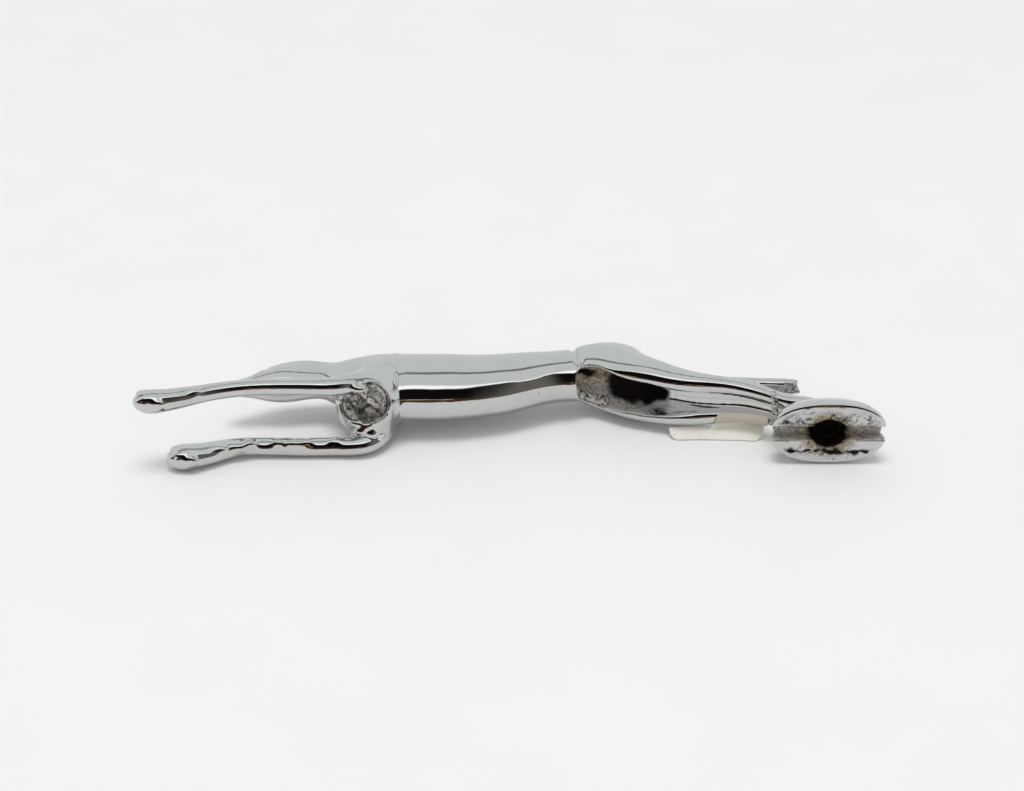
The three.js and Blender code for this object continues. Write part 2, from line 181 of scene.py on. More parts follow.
@dataclass
class Clay:
    """A block of distances, negative inside the shape, that limbs are added to and hollows cut from.

    Attributes:
        low: lowest corner in millimetres.
        high: highest corner in millimetres.
        step: spacing of the samples in millimetres.
        far: the distance held where nothing is near.
    """

    low: Point
    high: Point
    step: float
    far: float = 3.0
    axes: list[np.ndarray] = field(init=False)
    distance: np.ndarray = field(init=False)

    def __post_init__(self) -> None:
        """Lays out the samples."""
        self.axes = [
            np.arange(a, b + self.step, self.step, dtype=np.float32)
            for a, b in zip(self.low, self.high)
        ]
        self.distance = np.full([len(a) for a in self.axes], self.far, np.float32)

    def window(self, low: Iterable[float], high: Iterable[float]) -> Window:
        """The slices that cover a box.

        Args:
            low: the box's lowest corner in millimetres.
            high: its highest corner.

        Returns:
            One slice for each axis, cut off at the block's edges.
        """
        spans = []
        for a, b, start, axis in zip(low, high, self.low, self.axes):
            first = max(0, int((a - start) / self.step))
            last = min(len(axis), int((b - start) / self.step) + 2)
            spans.append(slice(first, max(first, last)))
        return tuple(spans)

    def offsets(self, window: Window, centre: Iterable[float]) -> list[np.ndarray]:
        """Each sample's x, y and z from a centre, ready to be combined.

        Args:
            window: which samples.
            centre: the place that is subtracted.

        Returns:
            Three arrays, each long in its own axis only.
        """
        shapes = ((-1, 1, 1), (1, -1, 1), (1, 1, -1))
        return [
            (axis[span] - np.float32(c)).reshape(shape)
            for axis, span, c, shape in zip(self.axes, window, centre, shapes)
        ]

    def tube(self, stations: Sequence[Station], spacing: float = 0.8, grow: float = 0.0) -> "Lump":
        """A limb along stations.

        Args:
            stations: its cross-sections.
            spacing: distance between samples of its spine, in millimetres.
            grow: added to every half size.

        Returns:
            Its distances.
        """
        rows = np.array([(x, y, mid_plane(x) + w, d, b) for x, y, w, d, b in stations])
        length = np.linalg.norm(np.diff(rows[:, :3], axis=0), axis=1).sum()
        rows = natural_spline(rows, max(8, int(length / spacing)))
        rows[:, 3:] = np.maximum(rows[:, 3:] + grow, 0.25)
        reach = rows[:, 3:].max() + self.far
        whole = self.window(rows[:, :3].min(0) - reach, rows[:, :3].max(0) + reach)
        out = np.full([s.stop - s.start for s in whole], self.far, np.float32)
        for a, b in zip(rows[:-1], rows[1:]):
            self._segment(a, b, whole, out)
        return Lump(whole, out)

    def _segment(self, a: np.ndarray, b: np.ndarray, whole: Window, out: np.ndarray) -> None:
        """Lowers out to the distance of one short piece of a limb.

        Args:
            a: place and half sizes at the start.
            b: place and half sizes at the end.
            whole: the window that out covers.
            out: the distances so far, changed in place.
        """
        run = b[:3] - a[:3]
        length = float(np.linalg.norm(run))
        tangent = run / length
        across = np.array([0, 0, 1.0]) - tangent * tangent[2]
        across /= np.linalg.norm(across)
        along = np.cross(tangent, across)
        sizes = np.maximum(a[3:], b[3:])
        side = np.sqrt(np.maximum(0, 1 - tangent**2)) * sizes.max() + self.far
        low = np.minimum(a[:3], b[:3]) - side
        high = np.maximum(a[:3], b[:3]) + side
        window = self.window(low, high)
        if any(s.stop <= s.start for s in window):
            return
        dx, dy, dz = self.offsets(window, a[:3])
        u = dx * np.float32(across[0]) + dy * np.float32(across[1]) + dz * np.float32(across[2])
        v = dx * np.float32(along[0]) + dy * np.float32(along[1]) + dz * np.float32(along[2])
        s = dx * np.float32(tangent[0]) + dy * np.float32(tangent[1]) + dz * np.float32(tangent[2])
        t = np.clip(s / np.float32(length), 0, 1)
        s = s - t * np.float32(length)
        depth = np.float32(a[3]) + t * np.float32(b[3] - a[3])
        width = np.float32(a[4]) + t * np.float32(b[4] - a[4])
        cap = np.minimum(depth, width)
        uu, vv, ss = u / width, v / depth, s / cap
        outer = np.sqrt(uu * uu + vv * vv + ss * ss)
        slope = np.sqrt((uu / width) ** 2 + (vv / depth) ** 2 + (ss / cap) ** 2) + np.float32(1e-5)
        value = outer * (outer - 1) / slope
        inner = tuple(slice(w.start - o.start, w.stop - o.start) for w, o in zip(window, whole))
        np.minimum(out[inner], value, out=out[inner])

    def ball(self, centre: Point, radii: Point) -> "Lump":
        """An ellipsoid; its centre gives x, y and the offset to the hound's left.

        Args:
            centre: x, y and the offset to the hound's left.
            radii: half sizes along x, y and z.

        Returns:
            Its distances.
        """
        x, y, w = centre
        middle = np.array([x, y, mid_plane(x) + w])
        reach = np.array(radii) + self.far
        window = self.window(middle - reach, middle + reach)
        parts = self.offsets(window, middle)
        outer = np.sqrt(sum((p / np.float32(r)) ** 2 for p, r in zip(parts, radii)))
        slope = np.sqrt(sum((p / np.float32(r * r)) ** 2 for p, r in zip(parts, radii)))
        value = outer * (outer - 1) / (slope + np.float32(1e-5))
        return Lump(window, np.minimum(value, self.far).astype(np.float32))

    def add(self, lump: "Lump", blend: float) -> None:
        """Joins a lump to the shape with a fillet of that size."""
        now = self.distance[lump.window]
        self.distance[lump.window] = smooth_least(now, lump.values, blend)

    def cut(self, lump: "Lump", blend: float) -> None:
        """Takes a lump out of the shape, with a rounded brim of that size."""
        now = self.distance[lump.window]
        self.distance[lump.window] = -smooth_least(-now, lump.values, blend)

    def noise(self, window: Window, size: float, seed: int) -> np.ndarray:
        """Smooth random values from -1 to 1 over a window.

        Args:
            window: where.
            size: distance between its bumps, in millimetres.
            seed: fixes the draw.

        Returns:
            One value for each sample.
        """
        weights, counts = zip(*(spline_weights(a[s], size) for a, s in zip(self.axes, window)))
        lattice = np.random.default_rng(seed).uniform(-1, 1, counts).astype(np.float32)
        out = np.tensordot(weights[0], lattice, (1, 0))
        out = np.einsum("jb,abc->ajc", weights[1], out, optimize=True)
        return np.einsum("kc,ajc->ajk", weights[2], out, optimize=True) * 1.6

    def everywhere(self) -> Window:
        """The window that covers all samples."""
        return tuple(slice(0, len(a)) for a in self.axes)

    def relax(self, rounds: int) -> None:
        """Evens out the distances, so that joins between samples leave no facets.

        Args:
            rounds: how often each sample is averaged with its neighbours.
        """
        d = self.distance
        for _ in range(rounds):
            for axis in range(3):
                ahead = np.roll(d, -1, axis)
                behind = np.roll(d, 1, axis)
                d = (d * 2 + ahead + behind) * np.float32(0.25)
        self.distance = d

    def sampled(self, values: np.ndarray, points: np.ndarray) -> np.ndarray:
        """Values of a whole-block array at points, blended between samples.

        Args:
            values: one value for each of the block's samples.
            points: places in millimetres.

        Returns:
            One value for each point.
        """
        place = (points - np.array(self.low)) / self.step
        limit = np.array(values.shape) - 2
        cell = np.clip(np.floor(place).astype(int), 0, limit)
        f = np.clip(place - cell, 0, 1)
        out = np.zeros(len(points))
        for i in (0, 1):
            for j in (0, 1):
                for k in (0, 1):
                    weight = (
                        (f[:, 0] if i else 1 - f[:, 0])
                        * (f[:, 1] if j else 1 - f[:, 1])
                        * (f[:, 2] if k else 1 - f[:, 2])
                    )
                    out += weight * values[cell[:, 0] + i, cell[:, 1] + j, cell[:, 2] + k]
        return out

    def skin(self, rounds: int = 3) -> tuple[np.ndarray, np.ndarray]:
        """The shape's surface.

        Args:
            rounds: how often its points are evened out.

        Returns:
            Points in millimetres and faces of four corners that point outwards.
        """
        grid = vdb.FloatGrid(self.far)
        grid.copyFromArray(np.clip(self.distance, -self.far, self.far), tolerance=0)
        points, quads = grid.convertToQuads()
        points = points.astype(float) * self.step + np.array(self.low)
        quads = quads.astype(int)
        points = evened(points, quads, rounds)
        a, b, c, d = (points[quads[:, i]] for i in range(4))
        volume = np.einsum("ij,ij->i", a, np.cross(b, c)) + np.einsum("ij,ij->i", a, np.cross(c, d))
        if volume.sum() < 0:
            quads = quads[:, ::-1]
        return points, quads


@dataclass
class Lump:
    """Distances over one window of a block of clay."""

    window: Window
    values: np.ndarray

    def roughened(self, clay: Clay, size: float, depth: float, seed: int) -> "Lump":
        """The same lump with a lumpy surface."""
        return Lump(self.window, self.values + depth * clay.noise(self.window, size, seed))


def smooth_least(a: np.ndarray, b: np.ndarray, blend: float) -> np.ndarray:
    """The smaller of two distances, rounded where they are close."""
    near = np.maximum(blend - np.abs(a - b), 0) / blend
    return np.minimum(a, b) - near * near * np.float32(blend * 0.25)


def evened(points: np.ndarray, quads: np.ndarray, rounds: int) -> np.ndarray:
    """Moves each point towards its neighbours and back, which keeps the size (Taubin's way).

    Args:
        points: the surface's points.
        quads: its faces of four corners.
        rounds: how often they are moved there and back.

    Returns:
        The moved points.
    """
    edges = np.concatenate([quads[:, [i, (i + 1) % 4]] for i in range(4)])
    edges = np.unique(np.sort(edges, axis=1), axis=0)
    count = np.bincount(edges.ravel(), minlength=len(points))[:, None]
    for turn in range(rounds * 2):
        total = np.zeros_like(points)
        for axis in range(3):
            total[:, axis] = np.bincount(
                edges[:, 0], points[edges[:, 1], axis], len(points)
            ) + np.bincount(edges[:, 1], points[edges[:, 0], axis], len(points))
        share = 0.55 if turn % 2 == 0 else -0.57
        points = points + share * (total / np.maximum(count, 1) - points)
    return points


# ---------------------------------------------------------------- meshes
def new_object(name: str, points: np.ndarray, faces: Sequence[Sequence[int]]) -> bpy.types.Object:
    """A linked mesh object from points in the maker's millimetres.

    Args:
        name: its name.
        points: its points in millimetres.
        faces: the corners of each face.

    Returns:
        The object.
    """
    mesh = bpy.data.meshes.new(name)
    mesh.from_pydata(placed(points).tolist(), [], [list(map(int, f)) for f in faces])
    mesh.update()
    thing = bpy.data.objects.new(name, mesh)
    bpy.context.scene.collection.objects.link(thing)
    return thing


def baked_down(thing: bpy.types.Object, name: str) -> bpy.types.Object:
    """A plain object with all of thing's modifiers applied.

    Args:
        thing: the object; it is removed.
        name: the new object's name.

    Returns:
        The plain object.
    """
    graph = bpy.context.evaluated_depsgraph_get()
    mesh = bpy.data.meshes.new_from_object(thing.evaluated_get(graph))
    bpy.data.objects.remove(thing)
    mesh.name = name
    plain = bpy.data.objects.new(name, mesh)
    bpy.context.scene.collection.objects.link(plain)
    return plain


def carved(thing: bpy.types.Object, tool: bpy.types.Object, cut: Cut, name: str) -> bpy.types.Object:
    """A copy of thing with tool taken away from it, or what they share.

    Args:
        thing: the closed object that is copied.
        tool: the closed object that cuts it.
        cut: which part stays.
        name: the copy's name.

    Returns:
        The copy.
    """
    copy = bpy.data.objects.new(name + "_work", thing.data.copy())
    bpy.context.scene.collection.objects.link(copy)
    change = copy.modifiers.new("carve", "BOOLEAN")
    change.operation = cut.value
    change.object = tool
    change.solver = "MANIFOLD"
    return baked_down(copy, name)


def discard(*things: bpy.types.Object) -> None:
    """Removes working objects."""
    for thing in things:
        bpy.data.objects.remove(thing)


def prism(outline: Sequence[tuple[float, float]], low: float, high: float) -> bpy.types.Object:
    """A closed prism over an outline in the XY plane.

    Args:
        outline: x and y of each corner, either way round.
        low: height of its lower end.
        high: height of its upper end.

    Returns:
        The prism.
    """
    n = len(outline)
    points = [(x, y, low) for x, y in outline] + [(x, y, high) for x, y in outline]
    faces: list[list[int]] = [[i, (i + 1) % n, n + (i + 1) % n, n + i] for i in range(n)]
    area = sum(
        outline[i][0] * outline[(i + 1) % n][1] - outline[(i + 1) % n][0] * outline[i][1]
        for i in range(n)
    )
    faces += [list(range(n))[::-1], list(range(n, 2 * n))]
    if area < 0:
        faces = [f[::-1] for f in faces]
    return new_object("prism", np.array(points), faces)


def joined_solid(a: bpy.types.Object, b: bpy.types.Object, name: str) -> bpy.types.Object:
    """The union of two closed working objects, which are removed.

    Args:
        a: one object.
        b: the other.
        name: the union's name.

    Returns:
        The union.
    """
    change = a.modifiers.new("join", "BOOLEAN")
    change.operation = "UNION"
    change.object = b
    change.solver = "MANIFOLD"
    out = baked_down(a, name)
    discard(b)
    return out


def new_tree(name: str, inputs: dict[str, str]) -> bpy.types.NodeTree:
    """A geometry node tree that takes a shape and named inputs, and gives back a shape.

    Args:
        name: the tree's name.
        inputs: the socket type of each named input.

    Returns:
        The tree, with its sockets and no nodes.
    """
    tree = bpy.data.node_groups.new(name, "GeometryNodeTree")
    face = tree.interface
    face.new_socket("Geometry", in_out="INPUT", socket_type="NodeSocketGeometry")
    face.new_socket("Geometry", in_out="OUTPUT", socket_type="NodeSocketGeometry")
    for label, kind in inputs.items():
        face.new_socket(label, in_out="INPUT", socket_type=kind)
    return tree


def grown(thing: bpy.types.Object, tree: bpy.types.NodeTree, values: dict[str, object],
          name: str) -> bpy.types.Object:
    """A plain object with a node tree's change applied.

    Args:
        thing: the object; it is removed.
        tree: the node tree.
        values: what each named input is set to.
        name: the new object's name.

    Returns:
        The plain object.
    """
    change = thing.modifiers.new(tree.name, "NODES")
    change.node_group = tree
    for item in tree.interface.items_tree:
        if item.in_out == "INPUT" and item.name in values:
            change[item.identifier] = values[item.name]
    return baked_down(thing, name)


def softened(thing: bpy.types.Object, angle: float = 38.0) -> bpy.types.Object:
    """Shades thing smooth, apart from edges sharper than angle in degrees.

    Args:
        thing: the object.
        angle: the sharpest edge that still looks smooth.

    Returns:
        The same object.
    """
    mesh = thing.data
    mesh.polygons.foreach_set("use_smooth", np.ones(len(mesh.polygons), bool))
    mesh.set_sharp_from_angle(angle=math.radians(angle))
    mesh.update()
    return thing


def maker_points(thing: bpy.types.Object) -> np.ndarray:
    """An object's points in the maker's millimetres.

    Args:
        thing: an object at the origin.

    Returns:
        One row for each point.
    """
    co = np.empty(len(thing.data.vertices) * 3, np.float32)
    thing.data.vertices.foreach_get("co", co)
    return (co.reshape(-1, 3).astype(float) - SHIFT) / MM


def write_attribute(thing: bpy.types.Object, name: str, values: np.ndarray) -> None:
    """Stores one number for each point under name."""
    layer = thing.data.attributes.new(name, "FLOAT", "POINT")
    layer.data.foreach_set("value", np.clip(values, 0, 1).astype(np.float32))


def finish_piece(thing: bpy.types.Object, material: bpy.types.Material,
                 nodes: Sequence[str]) -> None:
    """Dresses a finished piece and ties it to the frame.

    Args:
        thing: the piece.
        material: its finish.
        nodes: the CAD nodes it stands for.
    """
    thing.data.materials.clear()
    thing.data.materials.append(material)
    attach(thing, BODY)
    if nodes:
        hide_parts(*nodes)
    log.info("%s: %d faces", thing.name, len(thing.data.polygons))


# ---------------------------------------------------------------- finishes
class Paint:
    """A short way to write a node material."""

    def __init__(self, name: str) -> None:
        """Starts an empty material with its shader and output.

        Args:
            name: the material's name.
        """
        self.material = bpy.data.materials.new(name)
        self.material.use_nodes = True
        self.tree = self.material.node_tree
        self.tree.nodes.clear()
        self.output = self.node("ShaderNodeOutputMaterial")
        self.shader = self.node("ShaderNodeBsdfPrincipled")
        self.link(self.shader.outputs["BSDF"], self.output.inputs["Surface"])
        self.place = self.node("ShaderNodeTexCoord").outputs["Object"]

    def node(self, kind: str, **settings: object) -> bpy.types.Node:
        """Adds a node and sets its properties.

        Args:
            kind: the node's type.
            settings: its properties.

        Returns:
            The node.
        """
        made = self.tree.nodes.new(kind)
        for key, value in settings.items():
            setattr(made, key, value)
        return made

    def link(self, source: bpy.types.NodeSocket, target: bpy.types.NodeSocket) -> None:
        """Joins two sockets."""
        self.tree.links.new(source, target)

    def feed(self, socket: bpy.types.NodeSocket, value: object) -> None:
        """Sets a socket to a value, or links it to another socket.

        Args:
            socket: an input.
            value: a constant or an output.
        """
        if isinstance(value, bpy.types.NodeSocket):
            self.link(value, socket)
        else:
            socket.default_value = value

    def noise(self, size: float, detail: float = 3.0, rough: float = 0.55, warp: float = 0.0,
              seed: float = 0.0) -> bpy.types.NodeSocket:
        """Cloudy values whose features are about size millimetres across.

        Args:
            size: the features' size.
            detail: how many finer layers are added.
            rough: how strong they are.
            warp: how far the clouds are bent.
            seed: picks the pattern.

        Returns:
            The values, 0 to 1.
        """
        made = self.node("ShaderNodeTexNoise", noise_dimensions="4D")
        self.link(self.place, made.inputs["Vector"])
        made.inputs["W"].default_value = seed
        made.inputs["Scale"].default_value = 1.0 / (size * MM)
        made.inputs["Detail"].default_value = detail
        made.inputs["Roughness"].default_value = rough
        made.inputs["Distortion"].default_value = warp
        return made.outputs["Fac"]

    def cells(self, size: float, feature: str = "F1") -> bpy.types.NodeSocket:
        """Distance to scattered points about size millimetres apart.

        Args:
            size: distance between the points.
            feature: which distance is measured.

        Returns:
            The distance, as a share of size.
        """
        made = self.node("ShaderNodeTexVoronoi", feature=feature)
        self.link(self.place, made.inputs["Vector"])
        made.inputs["Scale"].default_value = 1.0 / (size * MM)
        return made.outputs["Distance"]

    def ramp(self, value: bpy.types.NodeSocket, low: float, high: float, start: float = 0.0,
             end: float = 1.0) -> bpy.types.NodeSocket:
        """Value between low and high as start to end, smoothly.

        Args:
            value: what is read.
            low: where start is reached.
            high: where end is reached.
            start: the result at low.
            end: the result at high.

        Returns:
            The result.
        """
        made = self.node("ShaderNodeMapRange", interpolation_type="SMOOTHSTEP")
        self.link(value, made.inputs["Value"])
        made.inputs["From Min"].default_value = low
        made.inputs["From Max"].default_value = high
        made.inputs["To Min"].default_value = start
        made.inputs["To Max"].default_value = end
        return made.outputs["Result"]

    def maths(self, how: str, a: object, b: object = 0.0) -> bpy.types.NodeSocket:
        """One operation on two values.

        Args:
            how: the operation.
            a: the first value or socket.
            b: the second one.

        Returns:
            The result.
        """
        made = self.node("ShaderNodeMath", operation=how)
        self.feed(made.inputs[0], a)
        self.feed(made.inputs[1], b)
        return made.outputs[0]

    def attribute(self, name: str) -> bpy.types.NodeSocket:
        """A number stored on the piece's points."""
        return self.node("ShaderNodeAttribute", attribute_name=name).outputs["Fac"]

    def blend(self, share: object, a: object, b: object) -> bpy.types.NodeSocket:
        """Two colours mixed by share.

        Args:
            share: how much of b shows.
            a: the colour at 0.
            b: the colour at 1.

        Returns:
            The colour.
        """
        made = self.node("ShaderNodeMix", data_type="RGBA")
        self.feed(made.inputs[0], share)
        self.feed(made.inputs[6], a)
        self.feed(made.inputs[7], b)
        return made.outputs[2]

    def value_blend(self, share: object, a: object, b: object) -> bpy.types.NodeSocket:
        """Two numbers mixed by share.

        Args:
            share: how much of b counts.
            a: the number at 0.
            b: the number at 1.

        Returns:
            The number.
        """
        made = self.node("ShaderNodeMix", data_type="FLOAT")
        self.feed(made.inputs[0], share)
        self.feed(made.inputs[2], a)
        self.feed(made.inputs[3], b)
        return made.outputs[0]

    def bump(self, height: bpy.types.NodeSocket, depth: float, strength: float = 1.0,
             under: bpy.types.NodeSocket | None = None) -> bpy.types.NodeSocket:
        """A normal from a height of 0 to 1, depth in millimetres.

        Args:
            height: what stands up.
            depth: how far, in millimetres.
            strength: how much of it shows.
            under: a normal that it is laid over.

        Returns:
            The normal.
        """
        made = self.node("ShaderNodeBump")
        self.link(height, made.inputs["Height"])
        made.inputs["Distance"].default_value = depth * MM
        made.inputs["Strength"].default_value = strength
        if under:
            self.link(under, made.inputs["Normal"])
        return made.outputs["Normal"]

    def done(self, colour: object, roughness: object, metal: object,
             normal: bpy.types.NodeSocket | None) -> bpy.types.Material:
        """Feeds the shader and gives back the material.

        Args:
            colour: base colour.
            roughness: 0 for a mirror.
            metal: 1 for bare metal.
            normal: from bump, or None for none.

        Returns:
            The material.
        """
        self.feed(self.shader.inputs["Base Color"], colour)
        self.feed(self.shader.inputs["Roughness"], roughness)
        self.feed(self.shader.inputs["Metallic"], metal)
        if normal:
            self.link(normal, self.shader.inputs["Normal"])
        return self.material


@dataclass(frozen=True)
class Plating:
    """Old bright plating; the attributes bare, rust, dull and scar say where it is worn, and one more
    attribute says where painted shade darkens it to black.
    """

    name: str = "plating"
    bright: Colour = (0.60, 0.603, 0.60, 1)
    grime: Colour = (0.40, 0.39, 0.37, 1)
    metal: Colour = (0.66, 0.64, 0.61, 1)
    dark_metal: Colour = (0.25, 0.24, 0.225, 1)
    # near black: the colour of the pits, and of painted shade on bare metal
    black_and_shade: Colour = (0.010, 0.008, 0.007, 1)
    # painted shade on the plating
    painted_shade_black: Colour = (0.004, 0.003, 0.003, 1)
    scar: Colour = (0.022, 0.018, 0.016, 1)
    rust: Colour = (0.115, 0.068, 0.032, 1)
    straw: Colour = (0.62, 0.50, 0.27, 1)

    def material(self) -> bpy.types.Material:
        """Builds the material.

        Returns:
            The finished material.
        """
        p = Paint(self.name)
        bare, rust, black_and_shade = p.attribute("bare"), p.attribute("rust"), p.attribute("black_and_shade")
        dull = p.attribute("dull")
        haze = p.ramp(p.noise(9.0, 4, 0.6, seed=2.0), 0.45, 0.75)
        pits = p.maths("MULTIPLY", p.ramp(p.cells(1.7), 0.20, 0.05),
                       p.ramp(p.noise(5.0, 3, 0.6, seed=5.0), 0.60, 0.72))
        coarse = p.noise(0.9, 5, 0.65, seed=1.0)
        fine = p.noise(0.28, 4, 0.6, seed=3.0)
        # bright plating, hazy in places and pitted
        colour = p.blend(p.maths("MULTIPLY", haze, 0.16), self.bright, self.grime)
        colour = p.blend(p.maths("MULTIPLY", pits, 0.8), colour, self.black_and_shade)
        # the casting's own metal, with rust on it; it goes black under painted shade in the hollows and
        # along the pedestal's crack
        cast = p.blend(p.ramp(coarse, 0.46, 0.66), self.metal, self.dark_metal)
        cast = p.blend(p.maths("MULTIPLY", rust, p.ramp(coarse, 0.35, 0.6)), cast, self.rust)
        cast = p.blend(p.maths("MULTIPLY", rust, p.ramp(fine, 0.42, 0.6, 0, 0.85)), cast, self.straw)
        cast = p.blend(black_and_shade, cast, self.black_and_shade)
        edge = p.ramp(p.maths("ADD", bare, p.maths("MULTIPLY", p.maths("SUBTRACT", fine, 0.5), 0.7)),
                      0.35, 0.65)
        # painted shade: the plating also goes black where shade is painted into the hollows
        colour = p.blend(black_and_shade, colour, self.painted_shade_black)
        colour = p.blend(edge, colour, cast)
        # how rough and how metallic each of them is
        rough = p.value_blend(haze, 0.035, 0.075)
        rough = p.maths("MAXIMUM", rough, p.maths("MULTIPLY", pits, 0.5))
        rough = p.value_blend(dull, rough, 0.30)
        rough = p.value_blend(edge, rough, p.ramp(coarse, 0.3, 0.7, 0.34, 0.6))
        metal = p.value_blend(edge, 1.0, 0.45)
        metal = p.value_blend(p.maths("MULTIPLY", edge, rust), metal, 0.1)
        # painted shade also takes away the metal's sheen and its specular
        metal = p.value_blend(black_and_shade, metal, 0.0)
        rough = p.value_blend(black_and_shade, rough, 0.8)
        p.feed(p.shader.inputs["Specular IOR Level"], p.value_blend(black_and_shade, 0.5, 0.02))
        # scars: black specks sunk into the plating
        scar = p.attribute("scar")
        speck = p.ramp(p.noise(1.7, 6, 0.72, 0.9, seed=7.0), 0.465, 0.585)
        specks = p.maths("MULTIPLY", scar, p.maths("MULTIPLY", speck, 0.9))
        colour = p.blend(specks, colour, self.scar)
        rough = p.maths("MAXIMUM", rough, p.maths("MULTIPLY", scar, 0.22))
        height = p.value_blend(p.maths("MAXIMUM", edge, scar), p.maths("MULTIPLY", pits, -0.25),
                               coarse)
        normal = p.bump(height, 0.35, 0.8)
        normal = p.bump(p.noise(3.2, 1, 0.4, seed=8.0), 0.03, 0.5, normal)
        return p.done(colour, rough, metal, normal)


@dataclass(frozen=True)
class SolderFinish:
    """Dull lumpy filler metal."""

    name: str = "solder"
    pale: Colour = (0.74, 0.72, 0.69, 1)
    dark: Colour = (0.34, 0.32, 0.30, 1)
    pit: Colour = (0.06, 0.05, 0.045, 1)
    fold: Colour = (0.07, 0.062, 0.055, 1)

    def material(self) -> bpy.types.Material:
        """Builds the material.

        Returns:
            The finished material.
        """
        p = Paint(self.name)
        coarse = p.noise(1.2, 5, 0.65)
        fine = p.noise(0.25, 3, 0.6, seed=4.0)
        colour = p.blend(p.ramp(coarse, 0.35, 0.7), self.pale, self.dark)
        colour = p.blend(p.ramp(fine, 0.6, 0.7, 0, 0.7), colour, self.pit)
        crease = p.maths("ABSOLUTE", p.maths("SUBTRACT", p.noise(4.4, 2, 0.5, 1.0, seed=6.0), 0.5))
        colour = p.blend(p.ramp(crease, 0.035, 0.0), colour, self.fold)
        normal = p.bump(fine, 0.12, 0.6, p.bump(coarse, 0.45, 0.8, p.bump(crease, 4.0, 0.9)))
        return p.done(colour, p.ramp(coarse, 0.3, 0.7, 0.22, 0.46), 0.85, normal)


@dataclass(frozen=True)
class RustedSteelPaintedShade:
    """Steel gone brown, darkened almost to black as painted shade deep in the stud hole."""

    name: str = "rusted_steel"
    black: Colour = (0.006, 0.005, 0.005, 1)
    brown: Colour = (0.022, 0.013, 0.009, 1)

    def material(self) -> bpy.types.Material:
        """Builds the material.

        Returns:
            The finished material.
        """
        p = Paint(self.name)
        blotch = p.noise(1.1, 5, 0.7)
        # both colours are near black as painted shade, with brown rust blotches
        colour = p.blend(p.ramp(blotch, 0.45, 0.75), self.black, self.brown)
        p.shader.inputs["Specular IOR Level"].default_value = 0.06
        return p.done(colour, p.ramp(blotch, 0.3, 0.7, 0.65, 0.9), 0.0, p.bump(blotch, 0.25, 0.8))


@dataclass(frozen=True)
class TurnedBrass:
    """Plain brass pins."""

    name: str = "pin_brass"
    clean: Colour = (0.62, 0.46, 0.19, 1)
    aged: Colour = (0.33, 0.23, 0.10, 1)

    def material(self) -> bpy.types.Material:
        """Builds the material.

        Returns:
            The finished material.
        """
        p = Paint(self.name)
        dull = p.noise(2.0, 4, 0.6)
        colour = p.blend(p.ramp(dull, 0.4, 0.7), self.clean, self.aged)
        return p.done(colour, p.ramp(dull, 0.3, 0.7, 0.22, 0.45), 1.0, p.bump(dull, 0.05, 0.4))


@dataclass(frozen=True)
class LabelPaper:
    """Aged white paper with a gummed back."""

    name: str = "label_paper"
    clean: Colour = (0.83, 0.81, 0.75, 1)
    aged: Colour = (0.66, 0.60, 0.47, 1)
    gummed: Colour = (0.46, 0.42, 0.33, 1)
    speckle: Colour = (0.45, 0.38, 0.27, 1)

    def material(self) -> bpy.types.Material:
        """Builds the material.

        Returns:
            The finished material.
        """
        p = Paint(self.name)
        stain = p.noise(9.0, 4, 0.6)
        fibre = p.noise(0.22, 4, 0.7, seed=2.0)
        colour = p.blend(p.ramp(stain, 0.42, 0.72, 0, 0.7), self.clean, self.aged)
        colour = p.blend(p.maths("MULTIPLY", p.attribute("aged"), 0.85), colour, self.gummed)
        colour = p.blend(p.ramp(fibre, 0.45, 0.75, 0, 0.12), colour, self.speckle)
        return p.done(colour, p.ramp(fibre, 0.3, 0.7, 0.62, 0.8), 0.0, p.bump(fibre, 0.02, 0.5))


# ---------------------------------------------------------------- the hound
HINDLEG: list[Station] = [
    (21.0, 32.8, 3.8, 6.4, 3.6), (27.5, 29.8, 5.0, 6.8, 4.1), (34.0, 25.4, 5.5, 6.4, 4.1),
    (40.0, 22.0, 5.6, 5.2, 3.8), (46.0, 19.4, 5.4, 4.2, 3.3), (53.0, 18.1, 5.1, 3.2, 2.8),
    (60.0, 17.8, 4.6, 2.7, 2.4), (66.5, 16.9, 4.0, 2.7, 2.2), (72.5, 13.8, 3.5, 2.1, 1.9),
    (77.5, 11.1, 3.2, 2.3, 2.3), (83.0, 9.4, 3.0, 2.0, 2.6), (87.8, 8.7, 2.9, 0.9, 1.2),
]
EAR: list[Station] = [
    (-65.5, 27.2, 3.7, 0.9, 0.7), (-61.0, 28.3, 3.9, 1.6, 1.0),
    (-56.0, 28.8, 3.9, 1.5, 0.9), (-51.5, 28.8, 3.7, 0.6, 0.5),
]


